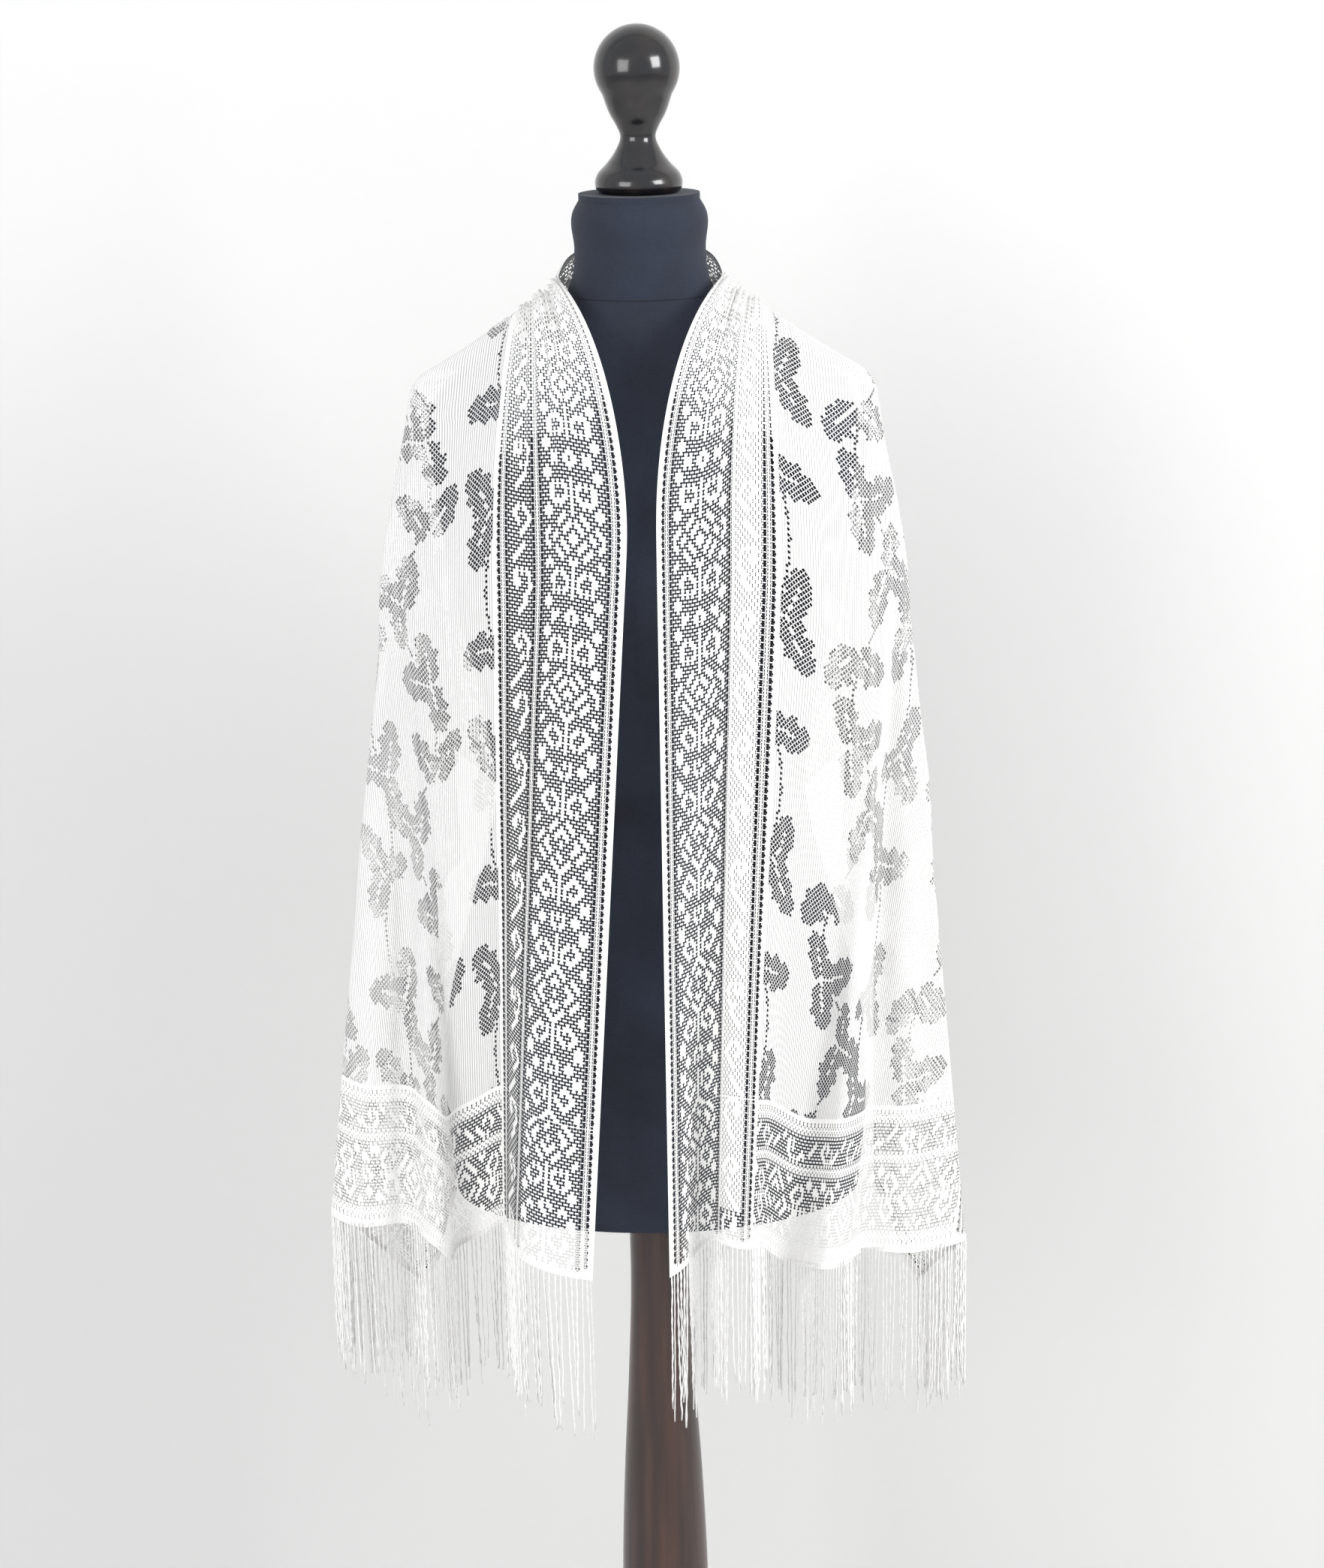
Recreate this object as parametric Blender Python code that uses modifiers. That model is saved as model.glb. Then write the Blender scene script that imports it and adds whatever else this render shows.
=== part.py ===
"""A fringed lace shawl, draped round the neck of a limbless dress form on a turned wooden stand.

The shawl is cut flat: u runs along its length from the nape, left ends negative, and v runs across
it from the neck edge. hang() carries a flat point to its place on the form. Metres, Z up, front at -Y.
"""

import math

import bmesh
import bpy
import numpy as np

# Flat cut of the shawl
HALF_LENGTH = 0.93
WIDTH = 0.58
CELLS_ACROSS = 42
BORDER_CELLS = 9
BORDER = WIDTH * BORDER_CELLS / CELLS_ACROSS
CELL_LENGTH = 0.036
HEM_CELL_LENGTH = 0.031
WALL = 0.0014
SEAM_GAP = 0.0012
BACK_STRETCH = 0.20
SLIVER = 1e-5

# Fringe
FRINGE_STRIP = 0.008
FRINGE_GAP = 0.0008
FRINGE_LENGTH = 0.120
STRANDS = 84
STRAND_WIDTH = 0.0020
STRAND_SWAY = 0.15
SWAY_TURN = 2.4
STRAND_SHOULDER = 0.0002
STRAND_ENDS = (1.0, 0.93, 1.04, 0.97, 0.9, 1.02)

# Where the flat cloth lies over the form
NECK_U = 0.09
TIP_U = 0.20
TIP_V = 0.22
CHEST_DROP = 0.25
HEM_DROP = 0.73
FORM_CLEARANCE = 0.0018
HEM_CLEARANCE = 0.04
LINE_SPARE = 0.3
FRINGE_SPARE = 1.4
LEAST_FALL = 0.04
RELAX_ROUNDS = 10
NORMAL_ROUNDS = 120
FAN_LINES = 901
LATTICE = 0.005

# Line that the cloth hangs from: fan 0 is the neck point, 1 to 2 the shoulder tip, 3 the nape
RIDGE_COLUMNS = ("fan", "x", "y", "z")
RIDGE = (
    (0.00, 0.0640, -0.0060, 1.4640),
    (0.30, 0.0800, -0.0030, 1.4530),
    (0.60, 0.1000, -0.0010, 1.4400),
    (0.80, 0.1400, 0.0000, 1.4160),
    (1.00, 0.1790, 0.0000, 1.3960),
    (1.02, 0.1790, 0.0000, 1.3960),
    (1.98, 0.1790, 0.0000, 1.3960),
    (2.00, 0.1790, 0.0000, 1.3960),
    (2.11, 0.1400, 0.0000, 1.4160),
    (2.22, 0.1000, -0.0010, 1.4400),
    (2.385, 0.0800, -0.0030, 1.4530),
    (2.55, 0.0640, -0.0060, 1.4640),
    (2.78, 0.0520, 0.0400, 1.4820),
    (3.00, 0.0000, 0.0660, 1.4900),
)

# Folds: the fan line each lies on, where that line passes at chest depth and at hem depth, and the
# length that small creases take up by hem depth
FOLD_COLUMNS = ("fan", "chest_x", "chest_y", "hem_x", "hem_y", "take_up")
RIGHT_FOLDS = (
    (0.000, 0.006, -0.150, 0.006, -0.162, 0.000),
    (0.080, 0.020, -0.151, 0.020, -0.155, 0.000),
    (0.230, 0.044, -0.146, 0.034, -0.120, 0.000),
    (0.300, 0.056, -0.150, 0.046, -0.122, 0.000),
    (0.430, 0.074, -0.152, 0.054, -0.158, 0.000),
    (0.530, 0.092, -0.144, 0.074, -0.160, 0.000),
    (0.700, 0.126, -0.118, 0.084, -0.108, 0.000),
    (0.880, 0.158, -0.084, 0.099, -0.091, 0.000),
    (1.000, 0.174, -0.056, 0.116, -0.090, 0.000),
    (1.040, 0.180, -0.052, 0.132, -0.120, 0.010),
    (1.070, 0.184, -0.048, 0.149, -0.112, 0.015),
    (1.105, 0.188, -0.036, 0.160, -0.076, 0.020),
    (1.140, 0.194, -0.034, 0.184, -0.076, 0.030),
    (1.185, 0.206, -0.036, 0.222, -0.082, 0.045),
    (1.225, 0.211, -0.022, 0.250, -0.040, 0.055),
    (1.270, 0.204, 0.000, 0.228, 0.006, 0.035),
    (1.330, 0.180, 0.012, 0.188, 0.044, 0.000),
    (1.490, 0.210, 0.030, 0.254, 0.066, 0.000),
    (1.650, 0.160, 0.051, 0.156, 0.096, 0.000),
    (1.810, 0.206, 0.072, 0.252, 0.130, 0.000),
    (1.950, 0.158, 0.091, 0.156, 0.164, 0.000),
    (2.060, 0.168, 0.104, 0.180, 0.186, 0.000),
    (2.200, 0.140, 0.106, 0.146, 0.152, 0.000),
    (2.400, 0.100, 0.112, 0.112, 0.160, 0.000),
    (2.600, 0.066, 0.116, 0.072, 0.136, 0.000),
    (2.800, 0.033, 0.118, 0.034, 0.140, 0.000),
    (3.000, 0.000, 0.119, 0.000, 0.130, 0.000),
)
LEFT_FOLDS = (
    (0.000, 0.008, -0.150, 0.040, -0.162, 0.000),
    (0.140, 0.038, -0.152, 0.070, -0.163, 0.000),
    (0.290, 0.066, -0.150, 0.100, -0.152, 0.000),
    (0.420, 0.088, -0.136, 0.114, -0.108, 0.000),
    (0.560, 0.110, -0.130, 0.122, -0.080, 0.000),
    (0.700, 0.134, -0.114, 0.140, -0.078, 0.000),
    (0.860, 0.158, -0.086, 0.168, -0.060, 0.000),
    (1.000, 0.176, -0.058, 0.168, -0.104, 0.020),
    (1.035, 0.182, -0.054, 0.180, -0.108, 0.035),
    (1.080, 0.192, -0.036, 0.206, -0.062, 0.045),
    (1.125, 0.202, -0.038, 0.240, -0.088, 0.055),
    (1.165, 0.214, -0.020, 0.264, -0.046, 0.065),
    (1.235, 0.208, 0.000, 0.244, 0.008, 0.050),
    (1.325, 0.180, 0.015, 0.176, 0.048, 0.000),
    (1.480, 0.209, 0.034, 0.250, 0.072, 0.000),
    (1.635, 0.160, 0.055, 0.156, 0.102, 0.000),
    (1.800, 0.204, 0.076, 0.248, 0.140, 0.000),
    (1.950, 0.157, 0.094, 0.156, 0.170, 0.000),
    (2.060, 0.168, 0.106, 0.182, 0.192, 0.000),
    (2.200, 0.140, 0.108, 0.144, 0.156, 0.000),
    (2.400, 0.102, 0.113, 0.108, 0.164, 0.000),
    (2.600, 0.066, 0.116, 0.074, 0.138, 0.000),
    (2.800, 0.033, 0.118, 0.034, 0.142, 0.000),
    (3.000, 0.000, 0.119, 0.000, 0.130, 0.000),
)

# Gathers of the neck border, standing up where it is bunched on the shoulder
GATHER_PITCH = 0.042
GATHER_HEIGHT = 0.0025
GATHER_FADE = 0.20
GATHER_FADE_BEHIND = 0.10
GATHER_REACH = 1.3
GATHER_SPARE = 0.01

# Dress form, from the bottom up
TORSO_COLUMNS = ("z", "half_width", "front", "back")
TORSO = (
    (0.715, 0.166, 0.104, 0.112),
    (0.790, 0.172, 0.108, 0.118),
    (0.870, 0.168, 0.106, 0.116),
    (0.960, 0.146, 0.096, 0.102),
    (1.050, 0.124, 0.088, 0.082),
    (1.130, 0.132, 0.106, 0.082),
    (1.205, 0.148, 0.128, 0.090),
    (1.250, 0.154, 0.133, 0.096),
    (1.300, 0.162, 0.120, 0.100),
    (1.340, 0.165, 0.094, 0.090),
    (1.365, 0.1628, 0.0779, 0.0758),
    (1.385, 0.1488, 0.0618, 0.0603),
    (1.405, 0.1180, 0.0520, 0.0530),
    (1.423, 0.0880, 0.0495, 0.0510),
    (1.440, 0.064, 0.048, 0.048),
    (1.458, 0.053, 0.049, 0.050),
    (1.480, 0.050, 0.049, 0.050),
    (1.511, 0.050, 0.049, 0.050),
    (1.518, 0.046, 0.045, 0.046),
)
TORSO_SIDES = 28
TORSO_RINGS = 26
STEM_RADIUS = 0.022
STEM_HEIGHT = 0.005

# Turned pieces: radius and height, top to bottom
TURNED_SIDES = 24
SHARP_ANGLE = 40
BALL_RADIUS = 0.0323
BALL_CENTRE = 1.6148
BALL_RINGS = 8
BALL_STEP = 15
FINIAL_BOTTOM = 1.5234
FINIAL_BELOW_BALL = (
    (0.0266, 1.5966),
    (0.0210, 1.5812),
    (0.0160, 1.5722),
    (0.0134, 1.5655),
    (0.0173, 1.5545),
    (0.0238, 1.5455),
    (0.0316, 1.5366),
    (0.0331, 1.5320),
    (0.0322, 1.5260),
    (0.0300, FINIAL_BOTTOM),
)
POLE_TOP = 0.7147
POLE_BOTTOM = 0.0503
POLE = (
    (0.0250, POLE_TOP),
    (0.0245, 0.6200),
    (0.0278, 0.5400),
    (0.0330, 0.4500),
    (0.0362, 0.3700),
    (0.0378, 0.2700),
    (0.0400, 0.1800),
    (0.0440, 0.1100),
    (0.0520, 0.0700),
    (0.0620, POLE_BOTTOM),
)
BASE = (
    (0.0700, 0.0500),
    (0.1300, 0.0420),
    (0.1600, 0.0340),
    (0.1700, 0.0240),
    (0.1700, 0.0060),
    (0.1660, 0.0000),
)


def material(name, colour, roughness, metallic=0.0):
    """One plain finish with the piece's colour."""
    finish = bpy.data.materials.new(name)
    finish.use_nodes = True
    shader = finish.node_tree.nodes["Principled BSDF"]
    shader.inputs["Base Color"].default_value = (*colour, 1.0)
    shader.inputs["Roughness"].default_value = roughness
    shader.inputs["Metallic"].default_value = metallic
    return finish


def add_object(name, mesh, finish, collection):
    """Put a mesh into the collection as one named piece."""
    piece = bpy.data.objects.new(name, mesh)
    piece.data.materials.append(finish)
    collection.objects.link(piece)
    return piece


def read_columns(table, names, *wanted):
    """The wanted columns of a table, one row for each of its rows."""
    return np.asarray(table)[:, [names.index(name) for name in wanted]]


def smooth_curve(places, rows, at):
    """Read a smooth curve through table rows at the asked places."""
    places = np.asarray(places, float)
    rows = np.asarray(rows, float)
    slopes = np.gradient(rows, places, axis=0)
    cell = np.clip(np.searchsorted(places, at) - 1, 0, len(places) - 2)
    span = (places[cell + 1] - places[cell])[..., None]
    t = ((at - places[cell])[..., None]) / span
    near = rows[cell]
    far = rows[cell + 1]
    lead = slopes[cell] * span
    tail = slopes[cell + 1] * span
    rise = t * t * (3.0 - 2.0 * t)
    return near + (far - near) * rise + lead * t * (1 - t) ** 2 - tail * t * t * (1 - t)


def fan_and_drop(u, v):
    """Which fan line a flat point lies on, and how far down that line."""
    ridge_u = NECK_U + v * (TIP_U - NECK_U) / TIP_V
    ridge_v = np.clip((u - NECK_U) * TIP_V / (TIP_U - NECK_U), 0.0, TIP_V)
    front = (v <= TIP_V) & (u >= ridge_u)
    side = (u > TIP_U) & (v > TIP_V)
    turn = np.arctan2(np.maximum(v - TIP_V, 0.0), np.maximum(u - TIP_U, 1e-9))
    fan = np.where(front, v / TIP_V, 3.0 - u / TIP_U)
    fan = np.where(side, 1.0 + turn / (math.pi / 2), fan)
    drop = np.where(front, u - ridge_u, v - ridge_v)
    drop = np.where(side, np.hypot(u - TIP_U, v - TIP_V), drop)
    return fan, np.maximum(drop, 0.0)


def form_ratio(points):
    """How far points lie from the form's axis, as a share of its section at their height."""
    levels = read_columns(TORSO, TORSO_COLUMNS, "z")[:, 0]
    sections = read_columns(TORSO, TORSO_COLUMNS, "half_width", "front", "back")
    height = np.clip(points[..., 2], levels[0], levels[-1])
    width, front, back = smooth_curve(levels, sections, height).T
    depth = np.where(points[..., 1].T < 0.0, front, back)
    return np.hypot(points[..., 0].T / width, points[..., 1].T / depth).T, width.T


def clear_of_form(points):
    """Move points out to just above the form's surface."""
    ratio, width = form_ratio(points)
    least = 1.0 + FORM_CLEARANCE / width
    covered = points[..., 2] > TORSO[0][0] - HEM_CLEARANCE
    push = np.where(covered & (ratio < least), least / np.maximum(ratio, 1e-6), 1.0)
    moved = points.copy()
    moved[..., 0] *= push
    moved[..., 1] *= push
    return moved


def fan_places(folds):
    """Places along every fan line, step by step, each line keeping its length as it falls."""
    fans = np.linspace(0.0, 3.0, FAN_LINES)
    drops = np.arange(0.0, HALF_LENGTH + LINE_SPARE, LATTICE)
    fan, drop = np.meshgrid(fans, drops, indexing="ij")
    ridge_fans = read_columns(RIDGE, RIDGE_COLUMNS, "fan")[:, 0]
    ridge = smooth_curve(ridge_fans, read_columns(RIDGE, RIDGE_COLUMNS, "x", "y", "z"), fan)
    fold_fans = read_columns(folds, FOLD_COLUMNS, "fan")[:, 0]
    chest = smooth_curve(fold_fans, read_columns(folds, FOLD_COLUMNS, "chest_x", "chest_y"), fan)
    hem = smooth_curve(fold_fans, read_columns(folds, FOLD_COLUMNS, "hem_x", "hem_y"), fan)
    take_up = smooth_curve(fold_fans, read_columns(folds, FOLD_COLUMNS, "take_up"), fan)[..., 0]
    reach = np.sin(np.clip(drop / CHEST_DROP, 0.0, 1.0) * math.pi / 2)[..., None]
    below = ((drop - CHEST_DROP) / (HEM_DROP - CHEST_DROP))[..., None]
    hung = chest + (hem - chest) * np.maximum(below, 0.0)
    plan = ridge[..., 0:2] + (hung - ridge[..., 0:2]) * reach
    slide = np.linalg.norm(np.gradient(plan, LATTICE, axis=1), axis=2)
    fall = np.sqrt(np.maximum(1.0 - slide ** 2, LEAST_FALL))
    height = np.cumsum(fall, axis=1) * LATTICE
    level = ridge[..., 2] - (height - height[:, 0:1]) + take_up * np.clip(drop / HEM_DROP, 0.0, 1.0)
    return np.concatenate([plan, level[..., None]], axis=2)


def spline_shares(t):
    """Shares of four neighbours in a smooth curve between the middle two."""
    return (
        0.5 * (-t + 2 * t ** 2 - t ** 3),
        0.5 * (2 - 5 * t ** 2 + 3 * t ** 3),
        0.5 * (t + 4 * t ** 2 - 3 * t ** 3),
        0.5 * (-t ** 2 + t ** 3),
    )


def read_grid(grid, row, column):
    """Read a grid of places smoothly between its lines."""
    row = np.clip(row, 1.0, grid.shape[0] - 2.001)
    column = np.clip(column, 1.0, grid.shape[1] - 2.001)
    top = row.astype(int)
    left = column.astype(int)
    across = row - top
    along = column - left
    total = 0.0
    for i, row_share in enumerate(spline_shares(across)):
        for j, column_share in enumerate(spline_shares(along)):
            share = (row_share * column_share)[..., None]
            total = total + grid[top + i - 1, left + j - 1] * share
    return total


def relax(places):
    """Round every crease a little, with the edges kept."""
    soft = places.copy()
    soft[1:-1, :] = (places[:-2, :] + 2 * places[1:-1, :] + places[2:, :]) / 4
    done = soft.copy()
    done[:, 1:-1] = (soft[:, :-2] + 2 * soft[:, 1:-1] + soft[:, 2:]) / 4
    return done


def outward(places):
    """Unit normals of a lattice of places, away from the form."""
    along = np.gradient(places, axis=0)
    across = np.gradient(places, axis=1)
    normal = np.cross(along, across)
    return normal / np.maximum(np.linalg.norm(normal, axis=2, keepdims=True), 1e-12)


def drape():
    """Places and normals of the whole shawl on an even lattice of its flat cut, with the fringe."""
    reach = HALF_LENGTH + FRINGE_LENGTH * FRINGE_SPARE
    count = int(round(reach / LATTICE))
    across = int(round(WIDTH / LATTICE))
    u, v = np.meshgrid(
        np.arange(-count, count + 1) * LATTICE,
        np.arange(-1, across + 2) * LATTICE,
        indexing="ij",
    )
    fan, drop = fan_and_drop(np.abs(u), np.clip(v, 0.0, WIDTH))
    row = fan / 3.0 * (FAN_LINES - 1)
    right = read_grid(fan_places(RIGHT_FOLDS), row, drop / LATTICE)
    left = read_grid(fan_places(LEFT_FOLDS), row, drop / LATTICE)
    left[..., 0] *= -1.0
    blend = np.clip(0.5 + u / (2 * NECK_U), 0.0, 1.0)[..., None]
    places = np.where(u[..., None] > 0.0, right, left)
    places[..., 1:] = right[..., 1:] * blend + left[..., 1:] * (1.0 - blend)
    for _ in range(RELAX_ROUNDS):
        places = clear_of_form(relax(places))
    fade_drop = np.where(fan < 1.0, GATHER_FADE, GATHER_FADE_BEHIND)
    fade = np.clip(1.0 - drop / fade_drop, 0.0, 1.0) ** 2
    fade *= np.clip(np.abs(u) / NECK_U, 0.0, 1.0) ** 2
    bunch = np.clip(GATHER_REACH - v / (BORDER + GATHER_SPARE), 0.0, 1.0)
    wave = GATHER_HEIGHT * fade * bunch * (1.0 - np.cos(2 * math.pi * v / GATHER_PITCH))
    places = relax(places + outward(places) * wave[..., None])
    edge = int(round(HALF_LENGTH / LATTICE))
    for side in (-1, 1):
        hem = places[count + side * edge]
        for step in range(1, count - edge + 1):
            places[count + side * (edge + step)] = hem - np.array((0.0, 0.0, step * LATTICE))
    normals = outward(places)
    for _ in range(NORMAL_ROUNDS):
        normals = relax(normals)
    return places, normals


def hang(u, v, lift, cloth):
    """Carry flat points to the form, lifted off the cloth's middle by the given distance."""
    places, normals = cloth
    middle = (places.shape[0] - 1) / 2
    row = u / LATTICE + middle
    column = v / LATTICE + 1.0
    normal = read_grid(normals, row, column)
    normal /= np.maximum(np.linalg.norm(normal, axis=-1, keepdims=True), 1e-12)
    return read_grid(places, row, column) + normal * lift[..., None]


def hang_mesh(form, cloth):
    """Move every vertex of a flat mesh to its place on the form."""
    bmesh.ops.recalc_face_normals(form, faces=form.faces)
    flat = np.array([vert.co[:] for vert in form.verts])
    hung = hang(flat[:, 0], flat[:, 1], flat[:, 2], cloth)
    for vert, place in zip(form.verts, hung):
        vert.co = place


def flat_slab(u_range, v_range, u_step, v_step):
    """A flat piece of cloth of the wall's thickness, cut into cells."""
    columns = max(1, round((u_range[1] - u_range[0]) / u_step))
    rows = max(1, round((v_range[1] - v_range[0]) / v_step))
    form = bmesh.new()
    bmesh.ops.create_grid(form, x_segments=columns, y_segments=rows, size=0.5)
    centre = ((u_range[0] + u_range[1]) / 2, (v_range[0] + v_range[1]) / 2, -WALL / 2)
    size = (u_range[1] - u_range[0], v_range[1] - v_range[0], 1.0)
    bmesh.ops.scale(form, vec=size, verts=form.verts)
    bmesh.ops.translate(form, vec=centre, verts=form.verts)
    raised = bmesh.ops.extrude_face_region(form, geom=form.faces[:], use_keep_orig=True)
    verts = [item for item in raised["geom"] if isinstance(item, bmesh.types.BMVert)]
    bmesh.ops.translate(form, vec=(0.0, 0.0, WALL), verts=verts)
    return form


def finish_mesh(form, name):
    """Turn a bmesh into a smooth-shaded mesh."""
    mesh = bpy.data.meshes.new(name)
    form.to_mesh(mesh)
    form.free()
    mesh.shade_smooth()
    mesh.set_sharp_from_angle(angle=math.radians(SHARP_ANGLE))
    return mesh


def shawl_piece(name, u_range, v_range, steps, cloth, finish, collection):
    """One stretch of the shawl, parted from its neighbours by the seam gap."""
    half_gap = SEAM_GAP / 2
    u_cut = (u_range[0] + half_gap, u_range[1] - half_gap)
    v_cut = (v_range[0] + half_gap, v_range[1] - half_gap)
    form = flat_slab(u_cut, v_cut, *steps)
    hang_mesh(form, cloth)
    add_object(name, finish_mesh(form, name), finish, collection)


def fringe_piece(name, side, cloth, finish, collection):
    """A narrow knotted strip along one short end, with its strands."""
    strip_start = HALF_LENGTH + FRINGE_GAP
    strip_end = strip_start + FRINGE_STRIP
    spacing = WIDTH / STRANDS
    form = flat_slab((strip_start, strip_end), (0.0, WIDTH), FRINGE_STRIP, spacing)
    ends = [face for face in form.faces if face.calc_center_median().x > strip_end - SLIVER]
    ends.sort(key=lambda face: face.calc_center_median().y)
    share = STRAND_WIDTH / spacing
    for number, face in enumerate(ends):
        middle = face.calc_center_median().y
        bmesh.ops.inset_individual(form, faces=[face], thickness=STRAND_SHOULDER)
        for vert in face.verts:
            vert.co.y = middle + (vert.co.y - middle) * share
        length = FRINGE_LENGTH * STRAND_ENDS[number % len(STRAND_ENDS)]
        sway = spacing * STRAND_SWAY * math.sin(number * SWAY_TURN)
        pulled = bmesh.ops.extrude_discrete_faces(form, faces=[face])
        bmesh.ops.translate(form, vec=(length, sway, 0.0), verts=pulled["faces"][0].verts)
    if side < 0:
        bmesh.ops.scale(form, vec=(-1.0, 1.0, 1.0), verts=form.verts)
    hang_mesh(form, cloth)
    add_object(name, finish_mesh(form, name), finish, collection)


def build_shawl(collection):
    """Every stretch of the shawl and its two fringes."""
    lace = material("white_lace", (0.86, 0.85, 0.83), 0.85)
    thread = material("white_thread", (0.88, 0.87, 0.85), 0.8)
    cloth = drape()
    end = HALF_LENGTH - BORDER
    stretches = {
        "left": (-end, -BACK_STRETCH),
        "back": (-BACK_STRETCH, BACK_STRETCH),
        "right": (BACK_STRETCH, end),
    }
    bands = {
        "neck_border": (0.0, BORDER),
        "ground": (BORDER, WIDTH - BORDER),
        "outer_border": (WIDTH - BORDER, WIDTH),
    }
    steps = (CELL_LENGTH, WIDTH / CELLS_ACROSS)
    for band, v_range in bands.items():
        for stretch, u_range in stretches.items():
            shawl_piece(f"{band}_{stretch}", u_range, v_range, steps, cloth, lace, collection)
    for stretch, side in (("left", -1), ("right", 1)):
        u_range = sorted((side * end, side * HALF_LENGTH))
        steps = (HEM_CELL_LENGTH, WIDTH / CELLS_ACROSS)
        shawl_piece(f"hem_border_{stretch}", u_range, (0.0, WIDTH), steps, cloth, lace, collection)
        fringe_piece(f"fringe_{stretch}", side, cloth, thread, collection)


def is_within(edge, ring):
    """Whether both ends of an edge lie on a ring."""
    return edge.verts[0] in ring and edge.verts[1] in ring


def build_torso(collection):
    """The jersey-covered body of the form, with its neck and the small stem that carries the finial."""
    jersey = material("black_jersey", (0.018, 0.018, 0.024), 0.9)
    levels = read_columns(TORSO, TORSO_COLUMNS, "z")[:, 0]
    sections = read_columns(TORSO, TORSO_COLUMNS, "half_width", "front", "back")
    form = bmesh.new()
    steps = np.linspace(0.0, len(levels) - 1, TORSO_RINGS)
    heights = np.interp(steps, range(len(levels)), levels)
    loops = []
    for z, (width, front, back) in zip(heights, smooth_curve(levels, sections, heights)):
        ring = bmesh.ops.create_circle(form, segments=TORSO_SIDES, radius=1.0)["verts"]
        for vert in ring:
            depth = front if vert.co.y < 0.0 else back
            vert.co = (vert.co.x * width, vert.co.y * depth, z)
        loops.append(ring)
    for lower, upper in zip(loops, loops[1:]):
        edges = [edge for edge in form.edges if is_within(edge, lower) or is_within(edge, upper)]
        bmesh.ops.bridge_loops(form, edges=edges)
    form.faces.new(loops[0])
    crown = form.faces.new(loops[-1])
    bmesh.ops.inset_individual(form, faces=[crown], thickness=TORSO[-1][1] - STEM_RADIUS)
    lifted = bmesh.ops.extrude_discrete_faces(form, faces=[crown])["faces"][0]
    bmesh.ops.translate(form, vec=(0.0, 0.0, STEM_HEIGHT), verts=lifted.verts)
    bmesh.ops.recalc_face_normals(form, faces=form.faces)
    add_object("torso", finish_mesh(form, "torso"), jersey, collection)


def build_turned(name, profile, finish, collection):
    """A solid of revolution from a profile that runs top to bottom."""
    mesh = bpy.data.meshes.new(name)
    points = [(0.0, 0.0, profile[0][1])]
    points += [(radius, 0.0, z) for radius, z in profile]
    points += [(0.0, 0.0, profile[-1][1])]
    edges = [(index, index + 1) for index in range(len(points) - 1)]
    mesh.from_pydata(points, edges, [])
    piece = add_object(name, mesh, finish, collection)
    screw = piece.modifiers.new("turned", "SCREW")
    screw.angle = math.tau
    screw.steps = TURNED_SIDES
    screw.render_steps = TURNED_SIDES
    screw.use_merge_vertices = True
    screw.merge_threshold = SLIVER


def build_stand(collection):
    """The finial, the pole and the base."""
    lacquer = material("black_lacquer", (0.012, 0.011, 0.011), 0.15)
    wood = material("dark_wood", (0.060, 0.028, 0.018), 0.35)
    ball = []
    for step in range(1, BALL_RINGS + 1):
        angle = math.radians(step * BALL_STEP)
        ball.append((BALL_RADIUS * math.sin(angle), BALL_CENTRE + BALL_RADIUS * math.cos(angle)))
    build_turned("finial", tuple(ball) + FINIAL_BELOW_BALL, lacquer, collection)
    build_turned("pole", POLE, wood, collection)
    build_turned("base", BASE, wood, collection)


def main():
    """Clear the scene and build every piece of the shawl and its form."""
    for item in list(bpy.data.objects):
        bpy.data.objects.remove(item, do_unlink=True)
    collection = bpy.data.collections.new("lace_shawl")
    bpy.context.scene.collection.children.link(collection)
    build_stand(collection)
    build_torso(collection)
    build_shawl(collection)


main()
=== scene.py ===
"""Looks of a fringed lace shawl on its dress form: cloth, lace, fringe, form, stand, light and camera.

The shawl is worked flat and then hung. u runs along its length from the nape, left ends negative, and
v runs across it from the neck edge. Metres, Z up, front at -Y.
"""

import math

import bmesh
import bpy
import numpy as np
from mathutils import Matrix, Vector


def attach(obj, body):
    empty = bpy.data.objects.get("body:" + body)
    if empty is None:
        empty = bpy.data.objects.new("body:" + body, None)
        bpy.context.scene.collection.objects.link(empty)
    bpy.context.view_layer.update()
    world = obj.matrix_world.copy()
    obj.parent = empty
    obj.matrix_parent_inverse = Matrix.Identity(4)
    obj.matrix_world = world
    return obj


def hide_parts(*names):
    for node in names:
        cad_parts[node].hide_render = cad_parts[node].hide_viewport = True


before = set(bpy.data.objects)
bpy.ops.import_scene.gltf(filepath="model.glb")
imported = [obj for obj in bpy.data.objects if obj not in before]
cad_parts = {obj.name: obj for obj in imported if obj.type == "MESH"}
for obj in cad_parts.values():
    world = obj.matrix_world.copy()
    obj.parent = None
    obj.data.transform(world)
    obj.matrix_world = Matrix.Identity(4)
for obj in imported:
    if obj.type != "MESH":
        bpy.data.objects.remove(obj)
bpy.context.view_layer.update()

# Flat cut of the shawl, as in the solids
HALF_LENGTH = 0.93
WIDTH = 0.58
CELLS_ACROSS = 42
BORDER_CELLS = 9
BORDER = WIDTH * BORDER_CELLS / CELLS_ACROSS
BACK_STRETCH = 0.20
FRINGE_LENGTH = 0.120
NECK_U = 0.09
TIP_U = 0.20
TIP_V = 0.22
CHEST_DROP = 0.25
HEM_DROP = 0.73
FORM_CLEARANCE = 0.0018
HEM_CLEARANCE = 0.04
RELAX_ROUNDS = 10
NORMAL_ROUNDS = 8
FAN_LINES = 901
LATTICE = 0.005
LINE_SPARE = 0.3
FRINGE_SPARE = 1.4
LEAST_FALL = 0.04

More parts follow.
